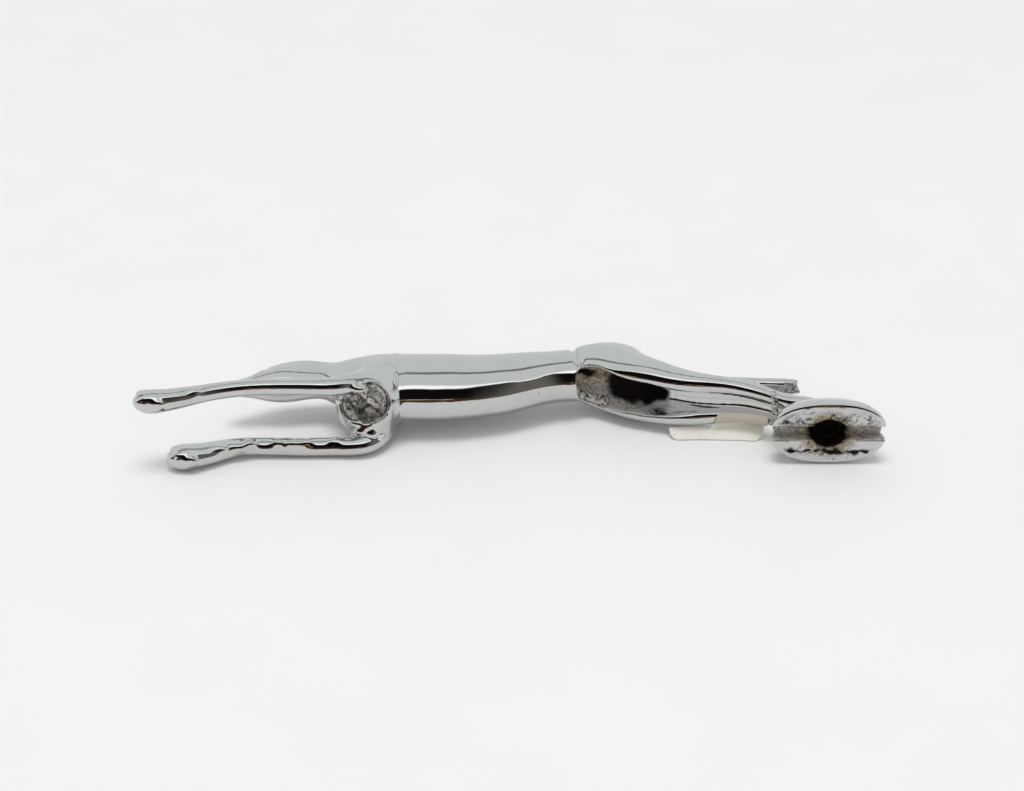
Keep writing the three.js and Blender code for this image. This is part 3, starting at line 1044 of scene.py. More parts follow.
@dataclass
class Hound:
    """The leaping hound: torso, four legs and tail, split where the castings meet.

    Attributes:
        step: spacing of the clay's samples in millimetres.
        low: lowest corner of the block of clay.
        high: highest corner of it.
        foreleg_joint: offset of the foreleg joints from the middle plane.
        hindleg_joint: offset of the hind leg joints from the middle plane.
        hindleg_top: height up to which a hind leg casting takes its half of the web.
        shank: x at which the thigh ends and the shank begins.
        tail_joint: x at which the tail leaves the rump.
        bare: how far the plating is missing, 0 to 1, at each sample; rust and dull likewise, and one layer
            of painted shade.
    """

    step: float = 0.34
    low: Point = (-105.0, -7.5, -1.0)
    high: Point = (85.0, 43.0, 26.5)
    foreleg_joint: float = 5.6
    hindleg_joint: float = 3.4
    hindleg_top: float = 23.8
    shank: float = 46.0
    tail_joint: float = 52.0
    torso: list[Station] = field(default_factory=lambda: [
        (-79.2, 20.9, 0, 1.1, 1.2), (-77.5, 21.2, 0, 2.2, 2.2), (-74.0, 22.0, 0, 2.9, 3.0),
        (-70.0, 23.2, 0, 4.0, 4.3), (-64.0, 24.6, 0, 5.5, 5.4), (-58.0, 25.6, 0, 5.6, 4.8),
        (-52.0, 25.8, 0, 6.0, 4.8), (-45.5, 24.6, 0, 8.6, 6.6), (-38.0, 23.2, 0, 11.2, 8.6),
        (-28.0, 22.9, 0, 11.7, 8.9), (-17.5, 23.3, 0, 11.6, 8.8), (-9.0, 24.2, 0, 10.8, 8.4),
        (-3.5, 25.3, 0, 10.1, 8.2), (3.0, 27.5, 0, 9.1, 7.8), (9.5, 29.4, 0, 8.3, 7.3),
        (18.0, 31.0, 0, 8.6, 7.2), (28.0, 31.8, 0, 9.2, 7.0), (38.0, 30.4, 0, 6.6, 5.4),
        (46.5, 28.4, 0, 3.9, 3.5), (54.0, 26.9, 0, 2.4, 2.6),
    ])
    tail: list[Station] = field(default_factory=lambda: [
        (48.0, 28.1, 0, 3.4, 3.2), (54.0, 26.9, 0, 2.4, 2.6), (62.0, 26.2, 0, 2.0, 2.5),
        (72.0, 25.9, 0, 1.9, 2.4), (79.0, 25.6, 0, 1.8, 2.3), (81.5, 25.5, 0, 1.5, 2.0),
    ])
    left_foreleg: list[Station] = field(default_factory=lambda: [
        (-101.8, -2.0, 8.9, 0.9, 1.0), (-99.8, -1.9, 8.9, 2.6, 2.7), (-95.5, -1.3, 8.9, 3.3, 3.3),
        (-90.5, 0.3, 8.9, 3.0, 2.9), (-84.5, 2.6, 9.0, 2.6, 2.5), (-77.0, 5.0, 9.1, 2.3, 2.35),
        (-66.0, 6.6, 9.1, 2.3, 2.4), (-56.0, 6.9, 9.1, 2.5, 2.5), (-49.0, 7.2, 9.1, 2.8, 2.7),
        (-44.6, 9.2, 8.8, 3.2, 2.8), (-40.8, 13.0, 8.0, 3.7, 3.0), (-38.0, 18.2, 6.5, 4.6, 3.2),
        (-38.0, 24.5, 4.9, 4.4, 3.0),
    ])
    right_foreleg: list[Station] = field(default_factory=lambda: [
        (-93.6, -2.2, -8.7, 1.1, 1.1), (-91.8, -2.0, -8.7, 3.0, 3.0), (-88.0, -1.2, -8.6, 3.9, 3.5),
        (-82.5, 1.2, -8.8, 3.4, 3.0), (-76.0, 4.2, -8.9, 2.8, 2.6), (-68.0, 5.0, -9.0, 2.6, 2.5),
        (-57.0, 5.0, -9.0, 2.65, 2.6), (-47.0, 5.2, -8.8, 2.9, 2.7), (-40.5, 6.3, -8.2, 3.6, 2.9),
        (-36.8, 11.0, -7.4, 3.7, 3.1), (-36.0, 18.0, -6.4, 4.6, 3.2), (-38.0, 24.5, -4.9, 4.4, 3.0),
    ])
    brisket: list[Station] = field(default_factory=lambda: [
        (-45.4, 14.4, 0, 3.8, 6.6), (-42.8, 12.4, 0, 5.8, 8.2), (-39.2, 11.8, 0, 6.4, 8.4),
        (-35.4, 15.0, 0, 4.6, 7.2),
    ])
    brisket_hollow: list[Station] = field(default_factory=lambda: [
        (-45.6, 8.4, 3.4, 2.0, 3.2), (-43.9, 8.5, 3.4, 3.9, 4.9), (-41.3, 8.5, 3.1, 5.0, 6.1),
        (-38.7, 8.7, 2.5, 4.2, 5.2), (-37.0, 8.9, 2.2, 1.9, 2.8),
    ])
    lip: list[Bead] = field(default_factory=lambda: [
        (-42.9, 7.2, -2.4, 1.7), (-40.4, 7.0, -3.4, 2.0), (-38.0, 7.4, -3.6, 1.9),
        (-41.6, 6.2, -4.4, 1.5), (-39.0, 6.0, -5.0, 1.5),
    ])
    groin_hollow: list[Station] = field(default_factory=lambda: [
        (17.9, 26.6, 2.6, 1.3, 2.0), (20.2, 25.8, 1.4, 3.0, 4.2), (23.6, 24.5, 0.4, 4.9, 5.7),
        (30.0, 21.8, 0, 6.5, 5.6),
        (38.0, 18.4, 0, 6.0, 5.0), (46.0, 15.6, 0, 4.2, 3.9), (54.0, 14.9, 0, 2.6, 2.4),
        (60.0, 15.0, 0, 1.0, 1.0),
    ])
    web: list[Station] = field(default_factory=lambda: [
        (38.0, 25.2, 0, 1.6, 6.0), (46.0, 22.0, 0, 1.2, 5.4), (53.0, 20.0, 0, 1.0, 4.9),
        (60.0, 19.2, 0, 0.9, 4.4), (66.5, 17.8, 0, 0.9, 3.8), (72.0, 14.9, 0, 0.9, 3.3),
        (76.5, 12.4, 0, 0.9, 3.0),
    ])
    clay: Clay = field(init=False)
    bare: np.ndarray = field(init=False)
    rust: np.ndarray = field(init=False)
    black_and_shade: np.ndarray = field(init=False)
    dull: np.ndarray = field(init=False)

    def model(self) -> None:
        """Shapes the whole figure in clay and marks where its plating is missing."""
        self.clay = clay = Clay(self.low, self.high, self.step)
        clay.add(clay.tube(self.torso), blend=0.5)
        clay.add(clay.tube(self.tail), blend=2.0)
        for ear in (EAR, mirrored(EAR)):
            clay.add(clay.tube(ear, spacing=0.5), blend=1.2)
        clay.add(clay.tube(self.brisket), blend=2.4)
        for leg in (self.left_foreleg, self.right_foreleg):
            clay.add(clay.tube(leg, spacing=0.6), blend=2.2)
        for leg in (HINDLEG, mirrored(HINDLEG)):
            clay.add(clay.tube(leg, spacing=0.6), blend=2.6)
        clay.add(clay.tube(self.web), blend=1.0)
        self._face()
        self._muscles()
        self._paws()
        self._pads()
        self._folds()
        clay.distance += 0.045 * clay.noise(clay.everywhere(), size=3.1, seed=12)
        clay.distance += 0.06 * clay.noise(clay.everywhere(), size=6.5, seed=11)
        clay.relax(rounds=2)
        below = (0.02 - SHIFT[2] / MM - clay.axes[2]).astype(np.float32).reshape(1, 1, -1)
        clay.distance = -smooth_least(-clay.distance, -below, 0.3)
        self._hollows()

    def _face(self) -> None:
        """Eyes, brows, mouth and nose."""
        clay = self.clay
        for s in (1, -1):
            clay.cut(clay.ball((-68.2, 25.2, 4.5 * s), (1.3, 0.9, 0.9)), blend=0.7)
            clay.add(clay.ball((-68.1, 25.2, 3.9 * s), (0.9, 0.75, 0.7)), blend=0.25)
            clay.add(clay.ball((-66.5, 27.3, 2.7 * s), (2.6, 0.9, 1.1)), blend=1.2)
            mouth = [(-79.0, 19.9, 1.0 * s, 0.3, 0.3), (-75.5, 20.1, 2.8 * s, 0.3, 0.4),
                     (-71.5, 20.9, 3.8 * s, 0.3, 0.4)]
            clay.cut(clay.tube(mouth, spacing=0.4), blend=0.4)
            ear_fold = [(-63.0, 27.4, 5.2 * s, 0.4, 0.35), (-59.0, 28.3, 5.3 * s, 0.5, 0.4),
                        (-55.0, 28.6, 5.1 * s, 0.3, 0.3)]
            clay.cut(clay.tube(ear_fold, spacing=0.4), blend=0.5)
        clay.add(clay.ball((-79.1, 21.7, 0), (0.9, 0.8, 1.1)), blend=0.5)

    def _muscles(self) -> None:
        """Shoulder, thigh and hock."""
        clay = self.clay
        for s in (1, -1):
            clay.add(clay.ball((67.8, 19.0, 4.1 * s), (1.7, 1.2, 1.3)), blend=1.2)
            clay.add(clay.ball((-41.6, 7.4 - s, 8.6 * s), (1.9, 1.4, 1.5)), blend=1.4)
            clay.add(clay.ball((29.0, 32.0, 5.2 * s), (8.0, 6.0, 3.2)), blend=2.5)
            fold = [(17.0, 37.0, 5.0 * s, 0.4, 0.4), (17.6, 33.5, 6.9 * s, 0.5, 0.5),
                    (18.6, 29.0, 7.0 * s, 0.6, 0.6), (19.6, 25.0, 6.0 * s, 0.5, 0.5)]
            clay.cut(clay.tube(fold, spacing=0.5), blend=1.4)

    def _paws(self) -> None:
        """Toes and the clefts between them."""
        clay = self.clay
        for x, y, w, size in ((-99.6, -1.8, 8.9, 1.0), (-91.4, -1.9, -8.7, 1.08)):
            for k in (-1.5, -0.5, 0.5, 1.5):
                toe = (x - 0.3 + 0.35 * abs(k), y + 0.6, w + k * 1.45 * size)
                clay.add(clay.ball(toe, (2.3 * size, 1.5 * size, 0.95 * size)), blend=0.5)
            for k in (-1.0, 0.0, 1.0):
                cleft = [(x - 2.4, y + 0.4, w + k * 1.45 * size, 0.3, 0.22),
                         (x - 0.4, y + 2.6 * size, w + k * 1.45 * size, 0.35, 0.25),
                         (x + 2.6, y + 3.7 * size, w + k * 1.25 * size, 0.2, 0.2)]
                clay.cut(clay.tube(cleft, spacing=0.4), blend=0.5)

    def _pads(self) -> None:
        """Pads under the paws and the unevenness of the forearms."""
        clay = self.clay
        for x, y, w, size in ((-96.4, -4.3, 9.2, 1.0), (-88.6, -4.9, -8.2, 1.12)):
            clay.add(clay.ball((x + 0.9, y, w), (1.9 * size, 0.7, 1.5 * size)), blend=0.4)
            for k in (-1, 0, 1):
                toe = (x - 2.6 - 0.4 * (k == 0), y + 0.7, w + k * 1.5 * size)
                clay.add(clay.ball(toe, (1.1 * size, 0.75, 0.7 * size)), blend=0.25)
            groove = [(x - 1.2, y - 0.5, w + 2.6, 0.3, 0.3), (x - 1.5, y - 0.7, w, 0.35, 0.35),
                      (x - 1.2, y - 0.5, w - 2.6, 0.3, 0.3)]
            clay.cut(clay.tube(groove, spacing=0.4), blend=0.5)
        for x, y, w, r in ((-75.6, 2.0, -7.6, 1.5), (-72.4, 2.9, -6.9, 1.1), (-64.5, 3.6, -6.9, 0.9),
                           (-60.0, 3.4, -7.0, 1.2), (-56.6, 3.8, -6.8, 0.8), (-80.5, 0.2, -7.2, 1.2),
                           (-86.4, 0.9, 10.6, 1.0), (-49.0, 4.4, -6.8, 1.0)):
            clay.add(clay.ball((x, y, w), (r * 1.6, r * 0.8, r * 0.8)), blend=1.4)

    def _folds(self) -> None:
        """Seams behind the elbows, ripples and a crease on the shoulders, and two shallow dents."""
        clay = self.clay
        for s in (1, -1):
            seam = [(-31.3, 11.4, 1.4 * s, 0.3, 0.3), (-31.4, 12.3, 3.4 * s, 0.35, 0.35),
                    (-31.8, 14.0, 5.3 * s, 0.35, 0.35), (-32.6, 16.8, 7.2 * s, 0.3, 0.3)]
            clay.cut(clay.tube(seam, spacing=0.4), blend=0.4)
            for k in range(4):
                ripple = [(-41.5 + 2.3 * k, 13.0 - 0.3 * k, 9.6 * s, 0.3, 0.3),
                          (-39.2 + 2.2 * k, 15.8, (9.9 - 0.3 * k) * s, 0.6, 0.5),
                          (-37.0 + 2.0 * k, 18.6, (9.8 - 0.3 * k) * s, 0.3, 0.3)]
                clay.cut(clay.tube(ripple, spacing=0.4), blend=1.1)
            crease = [(-44.0, 15.5, 8.6 * s, 0.4, 0.4), (-40.0, 17.5, 10.2 * s, 0.7, 0.7),
                      (-36.0, 17.0, 10.6 * s, 0.7, 0.7), (-32.6, 17.6, 9.6 * s, 0.4, 0.4)]
            clay.cut(clay.tube(crease, spacing=0.4), blend=1.3)
        for x, y, w in ((-34.6, 33.0, 4.4), (-32.4, 28.5, 8.1)):
            clay.cut(clay.ball((x, y, w), (1.3, 1.0, 0.45)), blend=1.0)

    def _hollows(self) -> None:
        """The open brisket and groin, the trough between the hind legs and the broken tail."""
        clay = self.clay
        brisket = clay.tube(self.brisket_hollow, spacing=0.5)
        for size, depth, seed in ((4.2, 0.75, 28), (1.5, 0.25, 21), (0.8, 0.10, 22)):
            brisket = brisket.roughened(clay, size, depth, seed)
        groin = clay.tube(self.groin_hollow, spacing=0.5).roughened(clay, size=1.9, depth=0.2, seed=23)
        trough = clay.tube([(40.0, 19.0, 0, 2.4, 3.6), (50.0, 16.6, 0, 2.4, 3.0),
                            (60.0, 15.8, 0, 2.0, 2.6), (67.0, 14.6, 0, 1.9, 2.2),
                            (72.5, 11.8, 0, 1.6, 1.8)], spacing=0.6)
        channel = clay.tube([(60.0, 23.3, 0, 0.5, 0.5), (68.0, 23.8, 0, 0.9, 0.8),
                             (76.0, 24.0, 0, 1.0, 1.0), (83.0, 23.9, 0, 1.1, 1.2)], spacing=0.6)
        channel = channel.roughened(clay, size=1.0, depth=0.15, seed=25)
        for hollow in (brisket, groin, trough):
            clay.cut(hollow, blend=0.9)
        clay.cut(channel, blend=0.5)
        clay.cut(self._ragged_end(), blend=0.3)
        beads = []
        for x, y, w, r in self.lip:
            bead = clay.ball((x, y, w), (r * 1.3, r, r * 0.8))
            beads.append(bead.roughened(clay, size=1.2, depth=0.15, seed=29))
            clay.add(beads[-1], blend=0.7)
        self._wear_plating([brisket, channel, groin], beads)
        self._mark(self.dull, groin, outside=0.35, inside=-0.15)
        self._mark(self.dull, trough, outside=0.3, inside=-0.2)
        self._rust_and_shade_groin()

    def _wear_plating(self, hollows: Sequence[Lump], beads: Sequence[Lump]) -> None:
        """Starts three layers of wear and one of painted shade, and marks where the plating is missing.

        Args:
            hollows: bare inside.
            beads: plated again where they stand in a hollow.
        """
        shape = self.clay.distance.shape
        self.bare, self.rust, self.black_and_shade, self.dull = (np.zeros(shape, np.float32) for _ in range(4))
        for lump in hollows:
            self._mark(self.bare, lump, outside=0.35, inside=-0.15)
        for bead in beads:
            self.bare[bead.window] *= np.clip((bead.values - 0.1) / 0.3, 0, 1)
        along = self.clay.axes[0]
        plated_from, tail_from = 47.0, 58.0
        fade = np.where(along > 0, np.clip((plated_from - along) / 12.0, 0, 1), 1.0)
        fade[along > tail_from] = 1.0
        self.bare *= fade.astype(np.float32)[:, None, None]

    def _rust_and_shade_groin(self) -> None:
        """Rust on the groin's roof, and painted shade in its depth and along its upper edge."""
        clay = self.clay
        roof = clay.tube([(18.5, 26.0, 2.5, 3.4, 4.6), (22.0, 27.4, 1.8, 3.6, 4.2),
                          (27.0, 27.5, 2.2, 3.5, 3.5), (33.0, 24.5, 2.5, 3.0, 3.0),
                          (37.0, 22.0, 2.5, 2.0, 2.0)])
        roof = roof.roughened(clay, size=1.6, depth=0.7, seed=32)
        self._mark(self.rust, roof, outside=0.9, inside=-0.9)
        # painted shade: the deep part of the groin is darkened
        depth = clay.tube([(28.5, 26.0, 0.0, 3.0, 3.2), (32.0, 26.0, -0.3, 4.6, 4.6),
                           (37.0, 24.5, -0.5, 4.6, 4.2), (42.5, 22.0, -0.6, 2.4, 2.4)])
        depth = depth.roughened(clay, size=2.6, depth=1.0, seed=31)
        depth = depth.roughened(clay, size=0.9, depth=0.5, seed=33)
        self._mark(self.black_and_shade, depth, outside=0.9, inside=-0.3)
        # painted shade under the groin's upper edge
        edge = clay.tube([(16.6, 27.4, 3.6, 1.2, 1.4), (19.4, 28.6, 3.0, 1.6, 1.6),
                          (24.0, 28.4, 1.6, 1.4, 1.4), (29.0, 26.6, 0.4, 1.6, 1.6)])
        edge = edge.roughened(clay, size=1.3, depth=0.9, seed=34)
        self._mark(self.black_and_shade, edge, outside=0.5, inside=-0.5)

    def _ragged_end(self) -> Lump:
        """What is missing past the torn end of the tail.

        Returns:
            Its distances.
        """
        clay = self.clay
        window = clay.window((77.0, 20.0, 2.0), (85.0, 31.0, 19.0))
        dx, dy, _ = clay.offsets(window, (81.3, 25.5, 10.3))
        torn = 2.2 * clay.noise(window, size=2.1, seed=26) + 1.0 * clay.noise(window, size=0.9, seed=27)
        return Lump(window, (torn - (dx - np.minimum(dy, 0) * 0.9)).astype(np.float32))

    def _mark(self, layer: np.ndarray, lump: Lump, outside: float, inside: float) -> None:
        """Raises layer to 1 within a lump, fading from inside to outside distances."""
        share = np.clip((outside - lump.values) / (outside - inside), 0, 1)
        layer[lump.window] = np.maximum(layer[lump.window], share)

    def _shoulder(self, side: Side, grow: float) -> bpy.types.Object:
        """The space that one foreleg casting takes.

        Args:
            side: which foreleg.
            grow: how far the space is widened, for the seam.

        Returns:
            A closed working object.
        """
        rear, top, front, corner = -31.5 + grow, 21.0 + grow, -52.0, 5.0
        outline = [(front - grow, -OUTSIDE), (rear, -OUTSIDE)]
        for i in range(5):
            a = i / 4 * math.pi / 2
            outline.append((rear - corner * (1 - math.cos(a)), top - corner * (1 - math.sin(a))))
        outline += [(front + 8.5, top), (front - grow, top - 7)]
        plane = mid_plane(-40) + side.value * (self.foreleg_joint - grow)
        pad = self._beside(side, plane, outline)
        middle = mid_plane(-70) + side.value * (SEAM - grow)
        inner = front + grow + 0.01
        arm = [(-PAST_END, -OUTSIDE), (inner, -OUTSIDE), (inner, top - 7), (-PAST_END, top - 7)]
        return joined_solid(pad, self._beside(side, middle, arm), "shoulder")

    def _beside(self, side: Side, plane: float, outline: list[tuple[float, float]]) -> bpy.types.Object:
        """Everything to one side of a level plane that a side view covers.

        Args:
            side: which side of the plane.
            plane: its height.
            outline: x and y of each corner of the side view.

        Returns:
            A closed working object.
        """
        if side is Side.LEFT:
            return prism(outline, plane, OUTSIDE)
        return prism(outline, -OUTSIDE, plane)

    def _thigh(self, side: Side, grow: float) -> bpy.types.Object:
        """The space that one hind leg casting takes.

        Args:
            side: which hind leg.
            grow: how far the space is widened, for the seam.

        Returns:
            A closed working object.
        """
        front, top, shank = 18.5 - grow, self.hindleg_top + grow, self.shank
        outline = [(front, -OUTSIDE), (shank + 4, -OUTSIDE), (shank + 4, top), (shank, top + 1.5),
                   (36, 33 + grow), (28, 38 + grow), (22, 38 + grow), (front, 34 + grow)]
        plane = mid_plane(32) + side.value * (self.hindleg_joint - grow)
        middle = mid_plane(66) + side.value * (SEAM / 2 - grow)
        below = [(shank - grow, -OUTSIDE), (PAST_END, -OUTSIDE),
                 (PAST_END, top + 0.01), (shank - grow, top + 0.01)]
        upper = self._beside(side, plane, outline)
        return joined_solid(upper, self._beside(side, middle, below), "thigh")

    def _strip(self, grow: float) -> bpy.types.Object:
        """The space that the tail takes.

        Args:
            grow: how far the space is widened, for the seam.

        Returns:
            A closed working object.
        """
        x, y = self.tail_joint - grow, self.hindleg_top + SEAM - grow
        outline = [(x, y), (PAST_END, y), (PAST_END, OUTSIDE), (x, OUTSIDE)]
        return prism(outline, -OUTSIDE, OUTSIDE)

    def build(self, plating: bpy.types.Material) -> None:
        """Makes the six castings, each a closed piece.

        Args:
            plating: their material.
        """
        self.model()
        whole = new_object("figure", *self.clay.skin())
        log.info("figure: %d faces", len(whole.data.polygons))
        x, crown = self.tail_joint, 8.6
        under = [(x, -OUTSIDE), (PAST_END, -OUTSIDE), (PAST_END, crown), (x, crown)]
        floor = prism(under, -OUTSIDE, OUTSIDE)
        figure = carved(whole, floor, Cut.AWAY, "figure_cut")
        discard(whole, floor)
        spaces: dict[str, Callable[[float], bpy.types.Object]] = {
            "foreleg_left": lambda g: self._shoulder(Side.LEFT, g),
            "foreleg_right": lambda g: self._shoulder(Side.RIGHT, g),
            "hindleg_left": lambda g: self._thigh(Side.LEFT, g),
            "hindleg_right": lambda g: self._thigh(Side.RIGHT, g),
            "tail": self._strip,
        }
        rest = figure
        for name, space in spaces.items():
            tool = space(0.0)
            piece = carved(figure, tool, Cut.COMMON, name + "_casting")
            discard(tool)
            wider = space(SEAM)
            left = carved(rest, wider, Cut.AWAY, "rest")
            discard(wider)
            if rest is not figure:
                discard(rest)
            rest = left
            self._dress(piece, plating, name)
        discard(figure)
        rest.name = "torso_casting"
        self._dress(rest, plating, "torso")

    def _dress(self, piece: bpy.types.Object, plating: bpy.types.Material, node: str) -> None:
        """Marks a casting's bare and rusty parts and its painted shade, and ties it to its CAD node.

        Args:
            piece: the casting.
            plating: its material.
            node: the CAD node it stands for.
        """
        points = maker_points(piece)
        for name, layer in (("bare", self.bare), ("rust", self.rust),
                            ("black_and_shade", self.black_and_shade), ("dull", self.dull)):
            write_attribute(piece, name, self.clay.sampled(layer, points))
        end = np.clip((points[:, 0] - 76.5) / 3.0, 0, 1) * (points[:, 1] > 20)
        feet = np.clip(1.6 - np.abs(points[:, 0] - 72.8), 0, 1) * (points[:, 1] < 13.5) * 0.8
        write_attribute(piece, "scar", np.maximum(end, feet))
        softened(piece)
        finish_piece(piece, plating, [node])


# ---------------------------------------------------------------- the pedestal
@dataclass
class Pedestal:
    """The oval dome with its rough slotted underside; all sizes are in millimetres.

    Attributes:
        half_length: half size along x.
        half_width: half size along z.
        squareness: power of the oval, 2 for an ellipse.
        step: spacing of the clay's samples.
        slot_width: width of the slot across the underside.
        slot_depth: its depth.
        hole_radius: radius of the stud hole.
        hole_depth: its depth.
    """

    half_length: float = 15.75
    half_width: float = 9.15
    squareness: float = 2.35
    step: float = 0.2
    slot_width: float = 3.9
    slot_depth: float = 4.2
    hole_radius: float = 4.6
    hole_depth: float = 7.2

    def _profile(self, y: np.ndarray) -> np.ndarray:
        """Share of the full oval at a height.

        Args:
            y: heights above the mounting face.

        Returns:
            One share for each height.
        """
        heights = [-3.0, 0.0, 1.6, 3.4, 5.4, 7.2, 8.2, 8.6, 11.0]
        shares = [1.0, 1.0, 1.01, 0.99, 0.92, 0.80, 0.66, 0.50, -1.0]
        return np.interp(y, heights, shares).astype(np.float32)

    def _oval(self, clay: Clay) -> np.ndarray:
        """How far out each column of samples is, as a share of the full oval.

        Args:
            clay: the block.

        Returns:
            Shares, 1 on the oval.
        """
        dx, _, dz = clay.offsets(clay.everywhere(), PEDESTAL_CENTRE)
        n = self.squareness
        return (np.abs(dx / self.half_length) ** n + np.abs(dz / self.half_width) ** n) ** (1 / n)

    def _rim(self, clay: Clay) -> np.ndarray:
        """1 on the underside and 0 at its rim, for each column of samples."""
        return np.clip((0.95 - self._oval(clay)) / 0.08, 0, 1)

    def _underside(self, clay: Clay) -> np.ndarray:
        """Distances past the mounting face, which is sunk and rough along its two lands.

        Args:
            clay: the block.

        Returns:
            One value for each sample.
        """
        window = clay.everywhere()
        _, dy, dz = clay.offsets(window, PEDESTAL_CENTRE)
        land = 0.28 * clay.noise(window, size=1.3, seed=41) + 0.13 * clay.noise(window, size=0.6, seed=42)
        lower = np.clip((-dz - 4.6) / 1.2, 0, 1) * np.clip((8.4 + dz) / 0.8, 0, 1)
        upper = np.clip((dz - 2.2) / 1.0, 0, 1) * np.clip((8.2 - dz) / 1.2, 0, 1)
        worn = self._rim(clay) * np.maximum(lower * 0.9, upper * 0.55)
        crown = 0.45 * np.clip((self._oval(clay) - 0.68) / 0.3, 0, 1) ** 2 * np.clip(dz - 2.0, 0, 1)
        crown = crown + 0.7 * np.clip((5.6 - dz) / 3.6, 0, 1) ** 2 * np.clip(dz - 1.0, 0, 1)
        return -dy + 0.02 + worn * (0.12 + land * 0.9) + crown

    def _model(self) -> Clay:
        """Shapes the dome and cuts its slot and hole.

        Returns:
            The block of clay.
        """
        cx, _, cz = PEDESTAL_CENTRE
        clay = Clay((cx - 17.5, -1.2, cz - 11.0), (cx + 17.5, 10.4, cz + 11.0), self.step, far=2.0)
        window = clay.everywhere()
        dx, dy, dz = clay.offsets(window, PEDESTAL_CENTRE)
        across = self.half_width + (self.half_length - self.half_width) * np.abs(dx) / (
            np.abs(dx) + np.abs(dz) + 1e-3)
        shares = self._profile(dy.ravel()).reshape(1, -1, 1)
        dome = (self._oval(clay) - shares) * across * 0.8
        body = -smooth_least(-dome, -self._underside(clay), 0.5)
        slot = np.maximum(np.abs(dz) - self.slot_width / 2, dy - self.slot_depth)
        rough = 0.12 * clay.noise(window, size=1.0, seed=43)
        body = -smooth_least(-body, slot + rough * 0.5, 0.35)
        hole = np.sqrt((dx * 0.9) ** 2 + dz**2) - self.hole_radius * 0.94
        hole = np.maximum(hole, dy - self.hole_depth) + rough
        body = -smooth_least(-body, hole, 0.5)
        clay.distance = body.astype(np.float32)
        return clay

    def _wear(self, piece: bpy.types.Object, clay: Clay) -> None:
        """Marks the scars, the bare slot and hole, their rust, the painted shade in the hole and on the
        slot's floor, and the ragged crack.

        Args:
            piece: the casting.
            clay: the block it was made from.
        """
        window = clay.everywhere()
        points = maker_points(piece)
        px, py, pz = (points - np.array(PEDESTAL_CENTRE)).T
        rim = np.broadcast_to(self._rim(clay), clay.distance.shape)
        inside = clay.sampled(rim, points) * np.clip((1.0 - py) / 0.5, 0, 1)
        from_hole = np.sqrt((px * 0.9) ** 2 + pz**2) - self.hole_radius
        in_slot = (np.abs(pz) < self.slot_width / 2 + 0.1) & (py < self.slot_depth + 0.7)
        in_hole = np.clip((0.3 - from_hole) / 0.3, 0, 1) * (py < 7.6)
        upper_land = np.clip((pz - 2.1) / 0.8, 0, 1)
        lower_land = np.clip((-pz - 4.9) / 0.5, 0, 1) * np.clip((7.0 + pz) / 0.6, 0, 1)
        near_hole = np.clip(1 - from_hole / 2.6, 0, 1)
        upper_scar = upper_land * np.clip((6.9 - pz) / 2.2, 0.15, 1.0)
        lands = inside * np.maximum.reduce([upper_scar, lower_land, near_hole * 0.6])
        tan = np.clip(1 - from_hole / 6.0, 0, 1) * (inside + in_slot > 0.3)
        rag = clay.sampled(clay.noise(window, size=1.1, seed=44), points) + 0.6 * clay.sampled(
            clay.noise(window, size=0.5, seed=45), points)
        sag = 0.35 * np.sin(px * 0.55) + 0.2 * np.sin(px * 1.7 + 1.0)
        line = np.exp(-(((pz + 5.5 + 0.03 * px + sag) / 0.85) ** 2)) * inside * (np.abs(px) < 12.5)
        crack = np.clip(line * 2.0 + rag * 1.3 - 0.85, 0, 1) * (line > 0.05)
        # ragged dark mottling on the upper land along the slot, heavier towards the left, is added to the
        # crack
        slot_edge = np.clip((4.4 - pz) / 1.8, 0, 1) * upper_land * np.clip(0.75 - px / 14.0, 0.25, 1)
        crack = np.maximum(crack, np.clip(slot_edge * 1.15 + rag * 1.3 - 0.7, 0, 1) * inside)
        write_attribute(piece, "scar", np.where(in_slot, 0.15, lands))
        write_attribute(piece, "bare", np.maximum.reduce([tan * 0.75, in_hole, in_slot * 0.75]))
        write_attribute(piece, "rust", np.clip(1.1 - from_hole / 5.0, 0, 1) * (py < 7.4))
        # painted shade: darker towards the stud hole and deeper inside it
        shade = np.clip(1.0 - from_hole / 1.6, 0, 1) * (py < 7.6) * np.clip(0.4 + py / 1.2, 0, 1)
        # painted shadow on the upper part of the slot's floor, under its upper wall
        under = in_slot * np.clip((pz - 0.3 + 0.25 * rag) / 0.6, 0, 0.9) * (py > 0.6)
        # painted shade and the black crack share one attribute
        write_attribute(piece, "black_and_shade", np.maximum.reduce([shade, crack, under]))
        write_attribute(piece, "dull", np.maximum(in_slot * 0.9, inside * 0.5))

    def build(self, plating: bpy.types.Material) -> None:
        """Makes the pedestal.

        Args:
            plating: its material.
        """
        clay = self._model()
        piece = new_object("pedestal_casting", *clay.skin(rounds=2))
        self._wear(piece, clay)
        softened(piece, angle=50)
        finish_piece(piece, plating, ["pedestal"])


